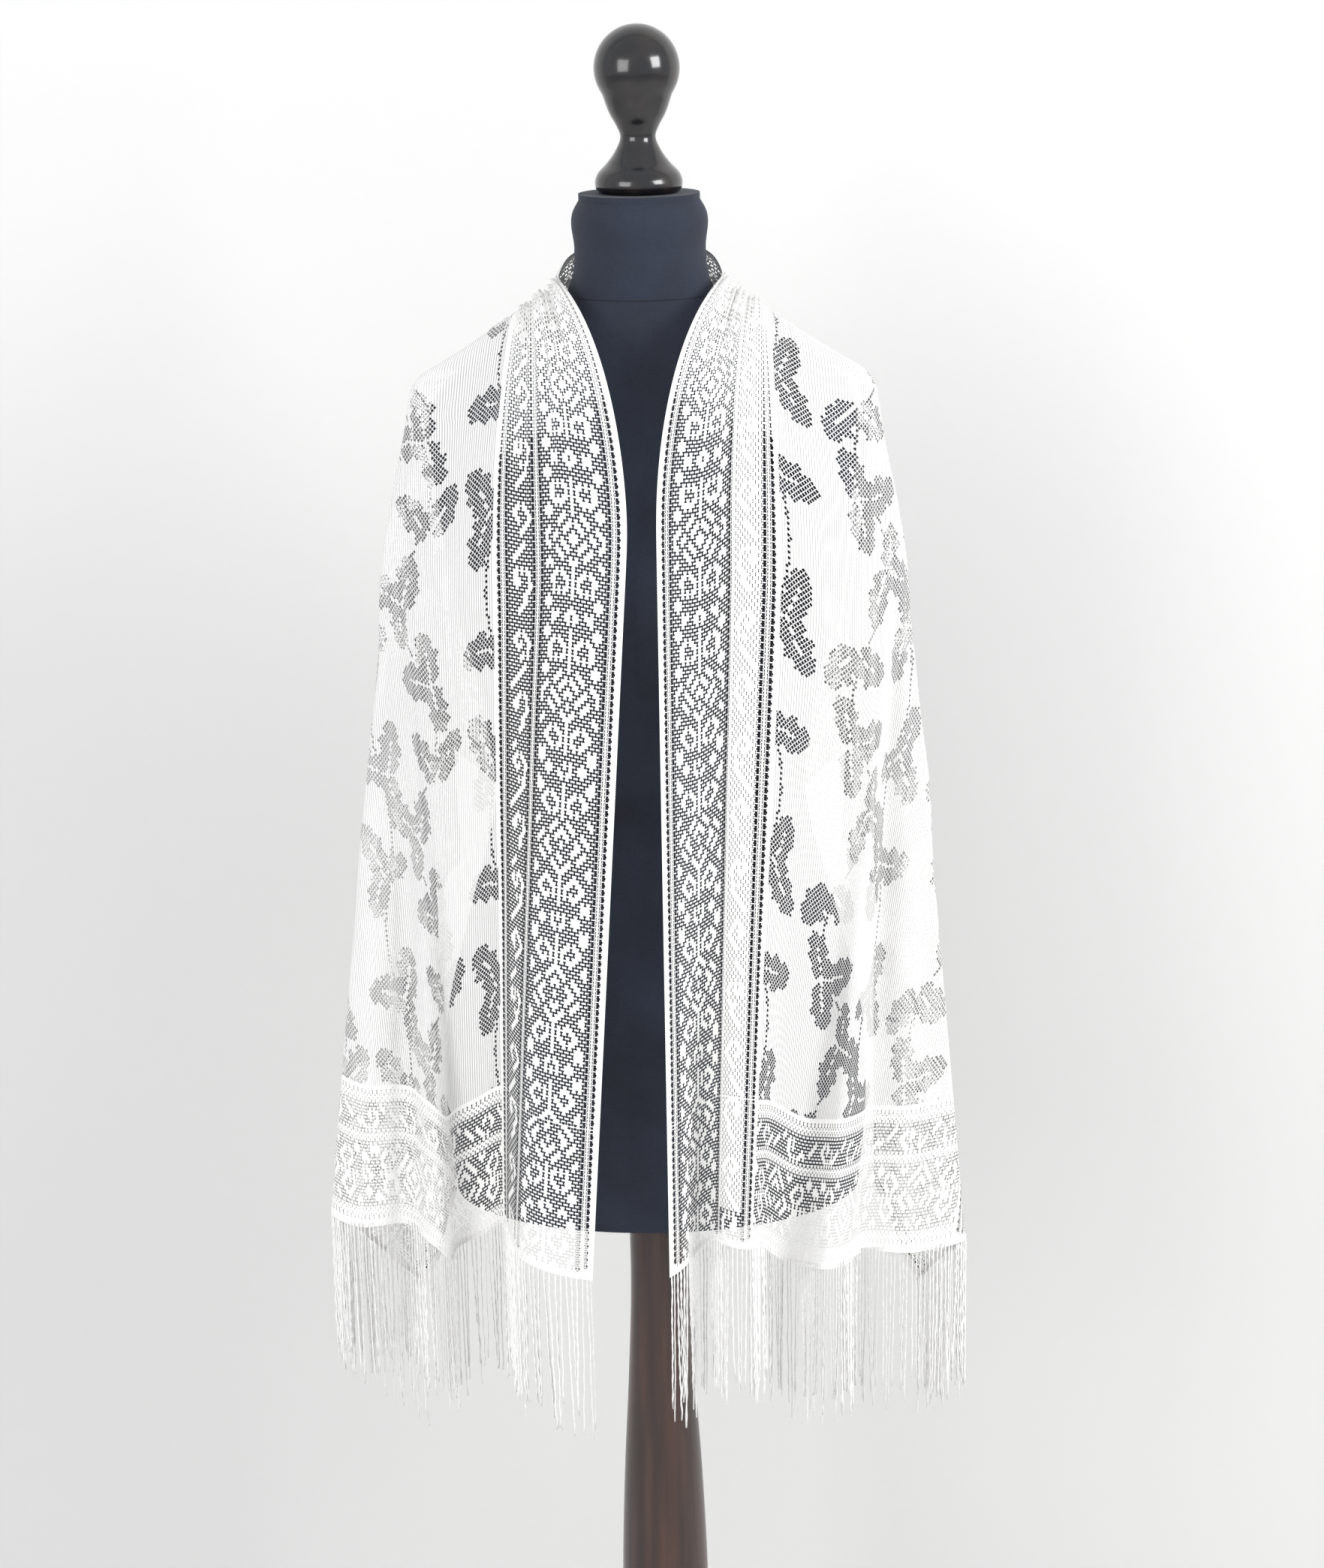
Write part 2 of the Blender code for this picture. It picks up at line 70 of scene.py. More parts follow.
# Line that the cloth hangs from: fan, x, y, z
RIDGE = (
    (0.00, 0.0640, -0.0060, 1.4640),
    (0.30, 0.0800, -0.0030, 1.4530),
    (0.60, 0.1000, -0.0010, 1.4400),
    (0.80, 0.1400, 0.0000, 1.4160),
    (1.00, 0.1790, 0.0000, 1.3960),
    (1.02, 0.1790, 0.0000, 1.3960),
    (1.98, 0.1790, 0.0000, 1.3960),
    (2.00, 0.1790, 0.0000, 1.3960),
    (2.11, 0.1400, 0.0000, 1.4160),
    (2.22, 0.1000, -0.0010, 1.4400),
    (2.385, 0.0800, -0.0030, 1.4530),
    (2.55, 0.0640, -0.0060, 1.4640),
    (2.78, 0.0520, 0.0400, 1.4820),
    (3.00, 0.0000, 0.0660, 1.4900),
)

# Folds: fan, chest x and y, hem x and y, and the length taken up in small creases by hem depth
RIGHT_FOLDS = (
    (0.000, 0.006, -0.150, 0.006, -0.162, 0.000),
    (0.080, 0.020, -0.151, 0.020, -0.155, 0.000),
    (0.230, 0.044, -0.146, 0.034, -0.120, 0.000),
    (0.300, 0.056, -0.150, 0.046, -0.122, 0.000),
    (0.430, 0.074, -0.152, 0.054, -0.158, 0.000),
    (0.530, 0.092, -0.144, 0.074, -0.160, 0.000),
    (0.700, 0.126, -0.118, 0.084, -0.108, 0.000),
    (0.880, 0.158, -0.084, 0.099, -0.091, 0.000),
    (1.000, 0.174, -0.056, 0.116, -0.090, 0.000),
    (1.040, 0.180, -0.052, 0.132, -0.120, 0.010),
    (1.070, 0.184, -0.048, 0.149, -0.112, 0.015),
    (1.105, 0.188, -0.036, 0.160, -0.076, 0.020),
    (1.140, 0.194, -0.034, 0.184, -0.076, 0.030),
    (1.185, 0.206, -0.036, 0.222, -0.082, 0.045),
    (1.225, 0.211, -0.022, 0.250, -0.040, 0.055),
    (1.270, 0.204, 0.000, 0.228, 0.006, 0.035),
    (1.330, 0.180, 0.012, 0.188, 0.044, 0.000),
    (1.490, 0.210, 0.030, 0.254, 0.066, 0.000),
    (1.650, 0.160, 0.051, 0.156, 0.096, 0.000),
    (1.810, 0.206, 0.072, 0.252, 0.130, 0.000),
    (1.950, 0.158, 0.091, 0.156, 0.164, 0.000),
    (2.060, 0.168, 0.104, 0.180, 0.186, 0.000),
    (2.200, 0.140, 0.106, 0.146, 0.152, 0.000),
    (2.400, 0.100, 0.112, 0.112, 0.160, 0.000),
    (2.600, 0.066, 0.116, 0.072, 0.136, 0.000),
    (2.800, 0.033, 0.118, 0.034, 0.140, 0.000),
    (3.000, 0.000, 0.119, 0.000, 0.130, 0.000),
)
LEFT_FOLDS = (
    (0.000, 0.008, -0.150, 0.040, -0.162, 0.000),
    (0.140, 0.038, -0.152, 0.070, -0.163, 0.000),
    (0.290, 0.066, -0.150, 0.100, -0.152, 0.000),
    (0.420, 0.088, -0.136, 0.114, -0.108, 0.000),
    (0.560, 0.110, -0.130, 0.122, -0.080, 0.000),
    (0.700, 0.134, -0.114, 0.140, -0.078, 0.000),
    (0.860, 0.158, -0.086, 0.168, -0.060, 0.000),
    (1.000, 0.176, -0.058, 0.168, -0.104, 0.020),
    (1.035, 0.182, -0.054, 0.180, -0.108, 0.035),
    (1.080, 0.192, -0.036, 0.206, -0.062, 0.045),
    (1.125, 0.202, -0.038, 0.240, -0.088, 0.055),
    (1.165, 0.214, -0.020, 0.264, -0.046, 0.065),
    (1.235, 0.208, 0.000, 0.244, 0.008, 0.050),
    (1.325, 0.180, 0.015, 0.176, 0.048, 0.000),
    (1.480, 0.209, 0.034, 0.250, 0.072, 0.000),
    (1.635, 0.160, 0.055, 0.156, 0.102, 0.000),
    (1.800, 0.204, 0.076, 0.248, 0.140, 0.000),
    (1.950, 0.157, 0.094, 0.156, 0.170, 0.000),
    (2.060, 0.168, 0.106, 0.182, 0.192, 0.000),
    (2.200, 0.140, 0.108, 0.144, 0.156, 0.000),
    (2.400, 0.102, 0.113, 0.108, 0.164, 0.000),
    (2.600, 0.066, 0.116, 0.074, 0.138, 0.000),
    (2.800, 0.033, 0.118, 0.034, 0.142, 0.000),
    (3.000, 0.000, 0.119, 0.000, 0.130, 0.000),
)
GATHER_PITCH = 0.042
GATHER_HEIGHT = 0.0025
GATHER_FADE = 0.20
GATHER_FADE_BEHIND = 0.10
GATHER_REACH = 1.3
GATHER_SPARE = 0.01

# Dress form: z, half width, front depth, back depth
TORSO = (
    (0.715, 0.166, 0.104, 0.112),
    (0.790, 0.172, 0.108, 0.118),
    (0.870, 0.168, 0.106, 0.116),
    (0.960, 0.146, 0.096, 0.102),
    (1.050, 0.124, 0.088, 0.082),
    (1.130, 0.132, 0.106, 0.082),
    (1.205, 0.148, 0.128, 0.090),
    (1.250, 0.154, 0.133, 0.096),
    (1.300, 0.162, 0.120, 0.100),
    (1.340, 0.165, 0.094, 0.090),
    (1.365, 0.1628, 0.0779, 0.0758),
    (1.385, 0.1488, 0.0618, 0.0603),
    (1.405, 0.1180, 0.0520, 0.0530),
    (1.423, 0.0880, 0.0495, 0.0510),
    (1.440, 0.064, 0.048, 0.048),
    (1.458, 0.053, 0.049, 0.050),
    (1.480, 0.050, 0.049, 0.050),
    (1.511, 0.050, 0.049, 0.050),
    (1.518, 0.046, 0.045, 0.046),
)
STEM_RADIUS = 0.022
STEM_TOP = 1.5230
TORSO_RINGS = 150
TORSO_SIDES = 112
TORSO_SHARP_ANGLE = 40

# Turned pieces: radius and height, top to bottom
BALL_RADIUS = 0.0323
BALL_CENTRE = 1.6148
BALL_SPAN = (3.0, 120.0)
BALL_STEPS = 40
FINIAL_BELOW_BALL = (
    (0.0266, 1.5966),
    (0.0210, 1.5812),
    (0.0160, 1.5722),
    (0.0134, 1.5655),
    (0.0173, 1.5545),
    (0.0238, 1.5455),
    (0.0316, 1.5366),
    (0.0331, 1.5320),
    (0.0322, 1.5260),
    (0.0300, 1.5234),
)
POLE = (
    (0.0250, 0.7147),
    (0.0245, 0.6200),
    (0.0278, 0.5400),
    (0.0330, 0.4500),
    (0.0362, 0.3700),
    (0.0378, 0.2700),
    (0.0400, 0.1800),
    (0.0440, 0.1100),
    (0.0520, 0.0700),
    (0.0620, 0.0503),
)
BASE = (
    (0.0700, 0.0500),
    (0.1300, 0.0420),
    (0.1600, 0.0340),
    (0.1700, 0.0240),
    (0.1700, 0.0060),
    (0.1660, 0.0000),
)
BASE_ROUNDED_ROWS = 4
FINIAL_STEPS = 60
POLE_STEPS = 80
BASE_STEPS = 40
TURNED_SIDES = 96
TURNED_SHARP_ANGLE = 50

# Knitted net of the border: wales run along u
WALE = 0.00249
COURSE = 0.0056
NET_BULGE = 0.0006
NET_HOLE = (0.75, 0.83)

# Bands of the border, as distances from the cloth's edge
SELVEDGE = 0.0078
DIAMOND_BAND = (0.0172, 0.0747)
SCROLL_BAND = (0.0845, 0.1095)
BORDER_PLAIN = 0.1190
LADDER_HOLE = (0.74, 0.95)
LADDER_SLIT = (0.80, 0.34)
HEM_LADDER_HOLE = (0.64, 0.50)
HEM_LADDER_SLIT = (0.26, 0.50)
DIAMOND_REPEAT = 0.117
DIAMOND_HALF = (0.0200, 0.0290)
DIAMOND_LINES = (1.0, 0.55, 0.08)
DIAMOND_LINE_HALF = 0.085
BAND_LINE_HALF = 0.0014
BAND_LINE_END = 0.047
EDGE_NET_WALES = 1.1
SCROLL_REPEAT = 0.048
SCROLL_EYE = 0.0028
SCROLL_GROWTH = 0.0092
SCROLL_LINE_HALF = 0.0018
SCROLL_LINK_SLOPE = 0.75
SCROLL_LINK_START = 0.27

# Round forms of the diamond band: along and across from a diamond's centre, inner and outer radius
BAND_ROUNDS = (
    (0.0330, 0.0118, 0.0052, 0.0088),
    (0.0470, 0.0225, 0.0000, 0.0050),
    (0.0585, 0.0000, 0.0030, 0.0064),
    (0.0585, 0.0150, 0.0000, 0.0044),
    (0.0190, 0.0235, 0.0000, 0.0038),
)

# Where the net is squeezed shut: share left open at the neck and on the doubled fold of the right front
NECK_OPEN = 0.30
NECK_SQUEEZE = 0.17
DOUBLED_OPEN = 0.42
DOUBLED_U = (0.06, 0.90)
DOUBLED_V = (0.0800, 0.1100)

# Fine net of the ground's leaves
LEAF_NET = 0.0021
LEAF_HOLE = 0.77
NET_SPARE = 1.001
HOLE_INSET = 1e-5

# Creases in the cloth, in the flat: u, v at one end, u, v at the other, half width, height
CREASES = (
    (0.16, 0.060, 0.55, 0.085, 0.010, -0.0022),
    (0.12, 0.105, 0.70, 0.130, 0.014, 0.0026),
    (0.22, 0.190, 0.62, 0.170, 0.016, -0.0028),
    (0.26, 0.250, 0.74, 0.225, 0.018, 0.0030),
    (0.30, 0.300, 0.58, 0.270, 0.013, -0.0024),
    (0.34, 0.345, 0.80, 0.330, 0.016, 0.0026),
    (0.24, 0.400, 0.52, 0.420, 0.017, -0.0030),
    (0.42, 0.470, 0.78, 0.440, 0.014, 0.0022),
    (0.10, 0.300, 0.16, 0.520, 0.016, 0.0024),
    (0.04, 0.220, 0.07, 0.500, 0.014, -0.0022),
    (-0.15, 0.055, -0.48, 0.080, 0.010, -0.0020),
    (-0.12, 0.110, -0.66, 0.128, 0.013, 0.0026),
    (-0.20, 0.180, -0.70, 0.165, 0.017, -0.0030),
    (-0.27, 0.235, -0.60, 0.215, 0.015, 0.0026),
    (-0.32, 0.290, -0.78, 0.265, 0.014, -0.0024),
    (-0.25, 0.350, -0.66, 0.335, 0.018, 0.0028),
    (-0.36, 0.410, -0.80, 0.400, 0.014, -0.0022),
    (-0.40, 0.480, -0.70, 0.465, 0.015, 0.0024),
    (-0.11, 0.280, -0.17, 0.500, 0.015, 0.0022),
    (-0.03, 0.240, -0.02, 0.540, 0.013, -0.0020),
)

# Fine gathers where the border is bunched at the neck: pitch, height, the drop that they fade over, their
# reach across as a share of the border, and how far and over what length their spacing wanders
FINE_GATHER_PITCH = 0.0135
FINE_GATHER_HEIGHT = 0.0021
FINE_GATHER_FADE = 0.24
FINE_GATHER_REACH = 1.4
FINE_GATHER_WANDER = 0.002
FINE_GATHER_WANDER_PITCH = 0.047

# Ripples that fan out from the shoulder tips: how many in a fan's unit, height for each metre of drop
RIPPLES = 22.0
RIPPLE_HEIGHT = 0.0105
RIPPLE_FULL_DROP = 0.6
RIPPLE_FANS = (1.0, 2.08)
RIPPLE_EASE = 0.1
RIPPLE_FRONT_SHARE = 0.4
RIPPLE_FRONT_END = 1.2
RIPPLE_DRIFT = 0.35
RIPPLE_DRIFT_TURNS = 3.1
RIPPLE_SWELL = 0.25
RIPPLE_SWELL_TURNS = 4.3

# Leaf sprays, in one repeat of the ground: u, v, turn in degrees, length, width
SPRAY_REPEAT = (0.190, 0.166)
SPRAY_LEAVES = (
    (0.025, 0.036, 100.0, 0.048, 0.036),
    (0.025, 0.036, 18.0, 0.044, 0.033),
    (0.025, 0.036, 205.0, 0.040, 0.030),
    (0.080, 0.074, 72.0, 0.046, 0.034),
    (0.080, 0.074, -24.0, 0.048, 0.035),
    (0.080, 0.074, 172.0, 0.036, 0.028),
    (0.142, 0.034, 58.0, 0.044, 0.034),
    (0.142, 0.034, -42.0, 0.044, 0.033),
    (0.126, 0.116, 84.0, 0.046, 0.035),
    (0.126, 0.116, -12.0, 0.048, 0.035),
    (0.126, 0.116, 205.0, 0.036, 0.028),
    (0.042, 0.130, 34.0, 0.046, 0.034),
    (0.042, 0.130, 158.0, 0.042, 0.031),
    (0.042, 0.130, -62.0, 0.034, 0.026),
)
LEAF_LOBES = 3.0
LEAF_LOBE_DEPTH = 0.36
LEAF_LOBE_CROWDING = 1.2
LEAF_LOBE_START = 0.25
LEAF_FULLNESS = 0.94
LEAF_BEND = 0.12
LEAF_BELLY = 0.85
LEAF_STALK = 0.03
VEIN_HALF = 0.07
VEIN_LENGTH = 0.62
STEM_PLACE = (0.054, 0.124)
STEM_SWING = (0.022, -0.009)
STEM_PHASE = 0.0325
STEM_HALF = 0.0014

# Fringe threads
FRINGE_PAIRS = 123
THREAD_RADIUS = 0.00060
THREAD_TWIST = 0.00048
THREAD_STEPS = 14
THREAD_TURNS = 7.0
THREAD_WANDER = 0.0003
THREAD_SPREAD = 0.0010
THREAD_LENGTHS = (0.92, 1.18)
SECOND_THREAD = (0.94, 1.0)
PAIR_TURN = 0.37
CLUMP_PAIRS = 3.7
CLUMP_PULL = 0.45
CLUMP_EASE = 1.5
FRINGE_ROOT = 0.004
FRINGE_SEEDS = {-1: 7, 1: 11}

# Grain of the finishes, in grains for each metre: nap and knit are about 1 to 2 mm, coarser than the real
# thread so that they show, dents 17 mm, patches 70 mm, and the wood's grain 11 mm wide and 200 mm long
LACE_NAP = 900.0
GROUND_NAP = 700.0
THREAD_NAP = 420.0
JERSEY_GRAIN = 900.0
JERSEY_PATCHES = 14.0
LACQUER_DENTS = 60.0
WOOD_GRAIN = (90.0, 90.0, 5.0)

# A wave texture turns by this many radians in a metre at a scale of 1; a stitch is half a wale
WAVE_TURN = 20.0
STITCH = WALE / 2

# Seam round the neck of the form: height, half width of its line and of its soft edge, darkness
NECK_SEAM = 1.4475
NECK_SEAM_LINE = 0.0003
NECK_SEAM_EDGE = 0.0009
NECK_SEAM_SHARE = 0.25

# Stage
FLOOR_HALF = 6.0
WALL_PLACE = (0.0, 0.46, 5.9)

# Lights: name, place, side of the square, power
LIGHTS = (
    ("window", (2.2, -1.6, 2.3), 1.2, 60.0),
    ("room", (-1.8, -2.4, 2.0), 1.6, 42.0),
)
LIGHT_TARGET = (0.0, 0.0, 1.1)
DAYLIGHT = "F4F6FA"
DAYLIGHT_STRENGTH = 0.95

# Camera
CAMERA_PLACE = (0.021, -2.30, 1.73)
CAMERA_TILT = 16.3
CAMERA_ROLL = 1.0
CAMERA_LENS = 68.9
CAMERA_SENSOR = 36.0


def linear(code):
    """An sRGB hex colour as linear RGBA."""
    parts = [int(code[place : place + 2], 16) / 255 for place in (0, 2, 4)]
    parts = [part / 12.92 if part <= 0.04045 else ((part + 0.055) / 1.055) ** 2.4 for part in parts]
    return (*parts, 1.0)


def add_node(tree, kind, settings=None, inputs=None):
    """One shader node with its settings, plain values and links."""
    node = tree.nodes.new(kind)
    for name, value in (settings or {}).items():
        setattr(node, name, value)
    for name, value in (inputs or {}).items():
        if isinstance(value, bpy.types.NodeSocket):
            tree.links.new(value, node.inputs[name])
        else:
            node.inputs[name].default_value = value
    return node


def new_material(name, roughness):
    """A material with its shader, ready for its nodes."""
    finish = bpy.data.materials.new(name)
    finish.use_nodes = True
    shader = finish.node_tree.nodes["Principled BSDF"]
    shader.inputs["Roughness"].default_value = roughness
    return finish, finish.node_tree, shader


def ramp(tree, factor, stops):
    """A colour ramp over a factor, from pairs of position and hex colour."""
    node = add_node(tree, "ShaderNodeValToRGB", inputs={"Fac": factor})
    band = node.color_ramp
    while len(band.elements) < len(stops):
        band.elements.new(0.5)
    for element, (position, code) in zip(band.elements, stops):
        element.position = position
        element.color = linear(code)
    return node.outputs["Color"]


def lace_material():
    """White knitted lace: matt, soft nap, and a fine stitch that keeps the bars from looking cut."""
    finish, tree, shader = new_material("white_lace", 0.82)
    coords = add_node(tree, "ShaderNodeUVMap", {"uv_map": "flat"}).outputs["UV"]
    stitch = add_node(tree, "ShaderNodeTexWave", {"wave_type": "BANDS", "bands_direction": "Y"},
                      {"Vector": coords, "Scale": math.tau / STITCH / WAVE_TURN, "Distortion": 1.5})
    cotton = add_node(tree, "ShaderNodeTexNoise",
                      inputs={"Vector": coords, "Scale": LACE_NAP, "Detail": 3.0})
    mixed = add_node(tree, "ShaderNodeMath", {"operation": "ADD"},
                     {0: stitch.outputs["Fac"], 1: cotton.outputs["Fac"]})
    shade = ramp(tree, cotton.outputs["Fac"], ((0.2, "EAE9E6"), (0.8, "FBFAF8")))
    tree.links.new(shade, shader.inputs["Base Color"])
    raised = add_node(tree, "ShaderNodeBump", inputs={"Strength": 0.5, "Distance": 0.0004,
                                                     "Height": mixed.outputs[0]})
    tree.links.new(raised.outputs["Normal"], shader.inputs["Normal"])
    shader.inputs["Sheen Weight"].default_value = 0.25
    shader.inputs["Sheen Roughness"].default_value = 0.6
    return finish


def ground_material():
    """Ribbed, half-sheer ground: fine ribs along the length, with thinner stitches in the furrows and painted
    shade greying the furrows.
    """
    finish, tree, shader = new_material("white_lace_ground", 0.85)
    coords = add_node(tree, "ShaderNodeUVMap", {"uv_map": "flat"}).outputs["UV"]
    across = add_node(tree, "ShaderNodeSeparateXYZ", inputs={"Vector": coords}).outputs["Y"]
    phase = add_node(tree, "ShaderNodeMath", {"operation": "MULTIPLY"}, {0: across, 1: math.tau / WALE})
    wave = add_node(tree, "ShaderNodeMath", {"operation": "SINE"}, {0: phase.outputs[0]})
    rib = add_node(tree, "ShaderNodeMapRange", inputs={"Value": wave.outputs[0], "From Min": -1.0})
    cotton = add_node(tree, "ShaderNodeTexNoise",
                      inputs={"Vector": coords, "Scale": GROUND_NAP, "Detail": 3.0})
    # Painted shade: the colour greys down into the furrows between the ribs, on top of their bump.
    shade = ramp(tree, rib.outputs["Result"], ((0.0, "CDCCCA"), (0.5, "EFEEEC"), (1.0, "F7F6F5")))
    tree.links.new(shade, shader.inputs["Base Color"])
    solid = add_node(tree, "ShaderNodeMapRange",
                     inputs={"Value": rib.outputs["Result"], "From Max": 0.5, "To Min": 0.66})
    tree.links.new(solid.outputs["Result"], shader.inputs["Alpha"])
    height = add_node(tree, "ShaderNodeMath", {"operation": "ADD"},
                      {0: rib.outputs["Result"], 1: cotton.outputs["Fac"]})
    raised = add_node(tree, "ShaderNodeBump", inputs={"Strength": 0.7, "Distance": 0.0005,
                                                     "Height": height.outputs[0]})
    tree.links.new(raised.outputs["Normal"], shader.inputs["Normal"])
    shader.inputs["Sheen Weight"].default_value = 0.25
    shader.inputs["Sheen Roughness"].default_value = 0.6
    return finish


def thread_material():
    """Loose white cotton thread of the fringe, greyer in random patches: painted shade for the gaps between
    the strands.
    """
    finish, tree, shader = new_material("white_thread", 0.8)
    coords = add_node(tree, "ShaderNodeTexCoord").outputs["Object"]
    twist = add_node(tree, "ShaderNodeTexNoise",
                     inputs={"Vector": coords, "Scale": THREAD_NAP, "Detail": 2.0})
    # Painted shade: grey patches at random along the threads, standing for the shade between the strands.
    shade = ramp(tree, twist.outputs["Fac"], ((0.25, "EBEAE8"), (0.75, "FDFCFB")))
    tree.links.new(shade, shader.inputs["Base Color"])
    shader.inputs["Sheen Weight"].default_value = 0.2
    return finish


def jersey_material():
    """Black-navy cotton jersey stretched over the form: fine knit grain and a seam round the neck."""
    finish, tree, shader = new_material("black_jersey", 0.88)
    coords = add_node(tree, "ShaderNodeTexCoord").outputs["Object"]
    grain = add_node(tree, "ShaderNodeTexNoise",
                     inputs={"Vector": coords, "Scale": JERSEY_GRAIN, "Detail": 2.0})
    patch = add_node(tree, "ShaderNodeTexNoise",
                     inputs={"Vector": coords, "Scale": JERSEY_PATCHES, "Detail": 3.0})
    mixed = add_node(tree, "ShaderNodeMath", {"operation": "MULTIPLY_ADD"},
                     {0: grain.outputs["Fac"], 1: 0.5, 2: patch.outputs["Fac"]})
    shade = ramp(tree, mixed.outputs[0], ((0.5, "131824"), (1.0, "232A3B")))
    level = add_node(tree, "ShaderNodeSeparateXYZ", inputs={"Vector": coords}).outputs["Z"]
    below = add_node(tree, "ShaderNodeMath", {"operation": "SUBTRACT"}, {0: level, 1: NECK_SEAM})
    near = add_node(tree, "ShaderNodeMath", {"operation": "ABSOLUTE"}, {0: below.outputs[0]})
    seam = add_node(tree, "ShaderNodeMapRange",
                    inputs={"Value": near.outputs[0], "From Min": NECK_SEAM_LINE, "From Max": NECK_SEAM_EDGE,
                            "To Min": NECK_SEAM_SHARE})
    dark = add_node(tree, "ShaderNodeMix", {"data_type": "RGBA", "blend_type": "MIX"},
                    {0: seam.outputs["Result"], 6: linear("05050A"), 7: shade})
    tree.links.new(dark.outputs[2], shader.inputs["Base Color"])
    raised = add_node(tree, "ShaderNodeBump", inputs={"Strength": 0.5, "Distance": 0.0004,
                                                     "Height": grain.outputs["Fac"]})
    tree.links.new(raised.outputs["Normal"], shader.inputs["Normal"])
    shader.inputs["Sheen Weight"].default_value = 0.06
    shader.inputs["Sheen Roughness"].default_value = 0.5
    return finish


def lacquer_material():
    """Thick black lacquer on turned wood: glossy, with a few soft dents and a brown glint."""
    finish, tree, shader = new_material("black_lacquer", 0.16)
    coords = add_node(tree, "ShaderNodeTexCoord").outputs["Object"]
    dents = add_node(tree, "ShaderNodeTexNoise",
                     inputs={"Vector": coords, "Scale": LACQUER_DENTS, "Detail": 2.0})
    shade = ramp(tree, dents.outputs["Fac"], ((0.45, "0C0C10"), (0.75, "221A18")))
    tree.links.new(shade, shader.inputs["Base Color"])
    rough = add_node(tree, "ShaderNodeMapRange",
                     inputs={"Value": dents.outputs["Fac"], "To Min": 0.10, "To Max": 0.30})
    tree.links.new(rough.outputs["Result"], shader.inputs["Roughness"])
    raised = add_node(tree, "ShaderNodeBump", inputs={"Strength": 0.25, "Distance": 0.0008,
                                                     "Height": dents.outputs["Fac"]})
    tree.links.new(raised.outputs["Normal"], shader.inputs["Normal"])
    shader.inputs["Coat Weight"].default_value = 0.4
    return finish


def wood_material():
    """Dark stained and varnished turned wood, its grain running up the pole."""
    finish, tree, shader = new_material("dark_wood", 0.34)
    coords = add_node(tree, "ShaderNodeTexCoord").outputs["Object"]
    along = add_node(tree, "ShaderNodeMapping", inputs={"Vector": coords, "Scale": WOOD_GRAIN})
    grain = add_node(tree, "ShaderNodeTexNoise",
                     inputs={"Vector": along.outputs["Vector"], "Scale": 1.0, "Detail": 5.0})
    shade = ramp(tree, grain.outputs["Fac"], ((0.3, "1E120F"), (0.55, "3A231C"), (0.8, "523428")))
    tree.links.new(shade, shader.inputs["Base Color"])
    raised = add_node(tree, "ShaderNodeBump", inputs={"Strength": 0.2, "Distance": 0.0005,
                                                     "Height": grain.outputs["Fac"]})
    tree.links.new(raised.outputs["Normal"], shader.inputs["Normal"])
    shader.inputs["Coat Weight"].default_value = 0.3
    return finish


def plain_material(name, code, roughness):
    """One even finish, for the floor."""
    finish, _, shader = new_material(name, roughness)
    shader.inputs["Base Color"].default_value = linear(code)
    return finish


def wall_material():
    """Matt pale plaster, seen from the front only, so that it hides nothing from behind."""
    finish, tree, shader = new_material("pale_wall", 0.9)
    shader.inputs["Base Color"].default_value = linear("D8D8D6")
    behind = add_node(tree, "ShaderNodeNewGeometry").outputs["Backfacing"]
    clear = add_node(tree, "ShaderNodeBsdfTransparent")
    mixed = add_node(tree, "ShaderNodeMixShader",
                     inputs={0: behind, 1: shader.outputs[0], 2: clear.outputs[0]})
    tree.links.new(mixed.outputs[0], tree.nodes["Material Output"].inputs["Surface"])
    return finish


def add_object(name, mesh, finish):
    """Put a mesh into the scene as one named piece."""
    piece = bpy.data.objects.new(name, mesh)
    piece.data.materials.append(finish)
    bpy.context.scene.collection.objects.link(piece)
    return piece


def smooth_curve(places, rows, at):
    """Read a smooth curve through table rows at the asked places."""
    places = np.asarray(places, float)
    rows = np.asarray(rows, float)
    slopes = np.gradient(rows, places, axis=0)
    cell = np.clip(np.searchsorted(places, at) - 1, 0, len(places) - 2)
    span = (places[cell + 1] - places[cell])[..., None]
    t = ((at - places[cell])[..., None]) / span
    near = rows[cell]
    far = rows[cell + 1]
    lead = slopes[cell] * span
    tail = slopes[cell + 1] * span
    rise = t * t * (3.0 - 2.0 * t)
    return near + (far - near) * rise + lead * t * (1 - t) ** 2 - tail * t * t * (1 - t)


def fan_and_drop(u, v):
    """Which fan line a flat point lies on, and how far down that line."""
    ridge_u = NECK_U + v * (TIP_U - NECK_U) / TIP_V
    ridge_v = np.clip((u - NECK_U) * TIP_V / (TIP_U - NECK_U), 0.0, TIP_V)
    front = (v <= TIP_V) & (u >= ridge_u)
    side = (u > TIP_U) & (v > TIP_V)
    turn = np.arctan2(np.maximum(v - TIP_V, 0.0), np.maximum(u - TIP_U, 1e-9))
    fan = np.where(front, v / TIP_V, 3.0 - u / TIP_U)
    fan = np.where(side, 1.0 + turn / (math.pi / 2), fan)
    drop = np.where(front, u - ridge_u, v - ridge_v)
    drop = np.where(side, np.hypot(u - TIP_U, v - TIP_V), drop)
    return fan, np.maximum(drop, 0.0)


def clear_of_form(points):
    """Move points out to just above the form's surface."""
    table = np.asarray(TORSO)
    height = np.clip(points[..., 2], table[0, 0], table[-1, 0])
    sections = smooth_curve(table[:, 0], table[:, 1:], height)
    width = sections[..., 0]
    depth = np.where(points[..., 1] < 0.0, sections[..., 1], sections[..., 2])
    ratio = np.hypot(points[..., 0] / width, points[..., 1] / depth)
    least = 1.0 + FORM_CLEARANCE / width
    covered = points[..., 2] > TORSO[0][0] - HEM_CLEARANCE
    push = np.where(covered & (ratio < least), least / np.maximum(ratio, 1e-6), 1.0)
    moved = points.copy()
    moved[..., 0] *= push
    moved[..., 1] *= push
    return moved


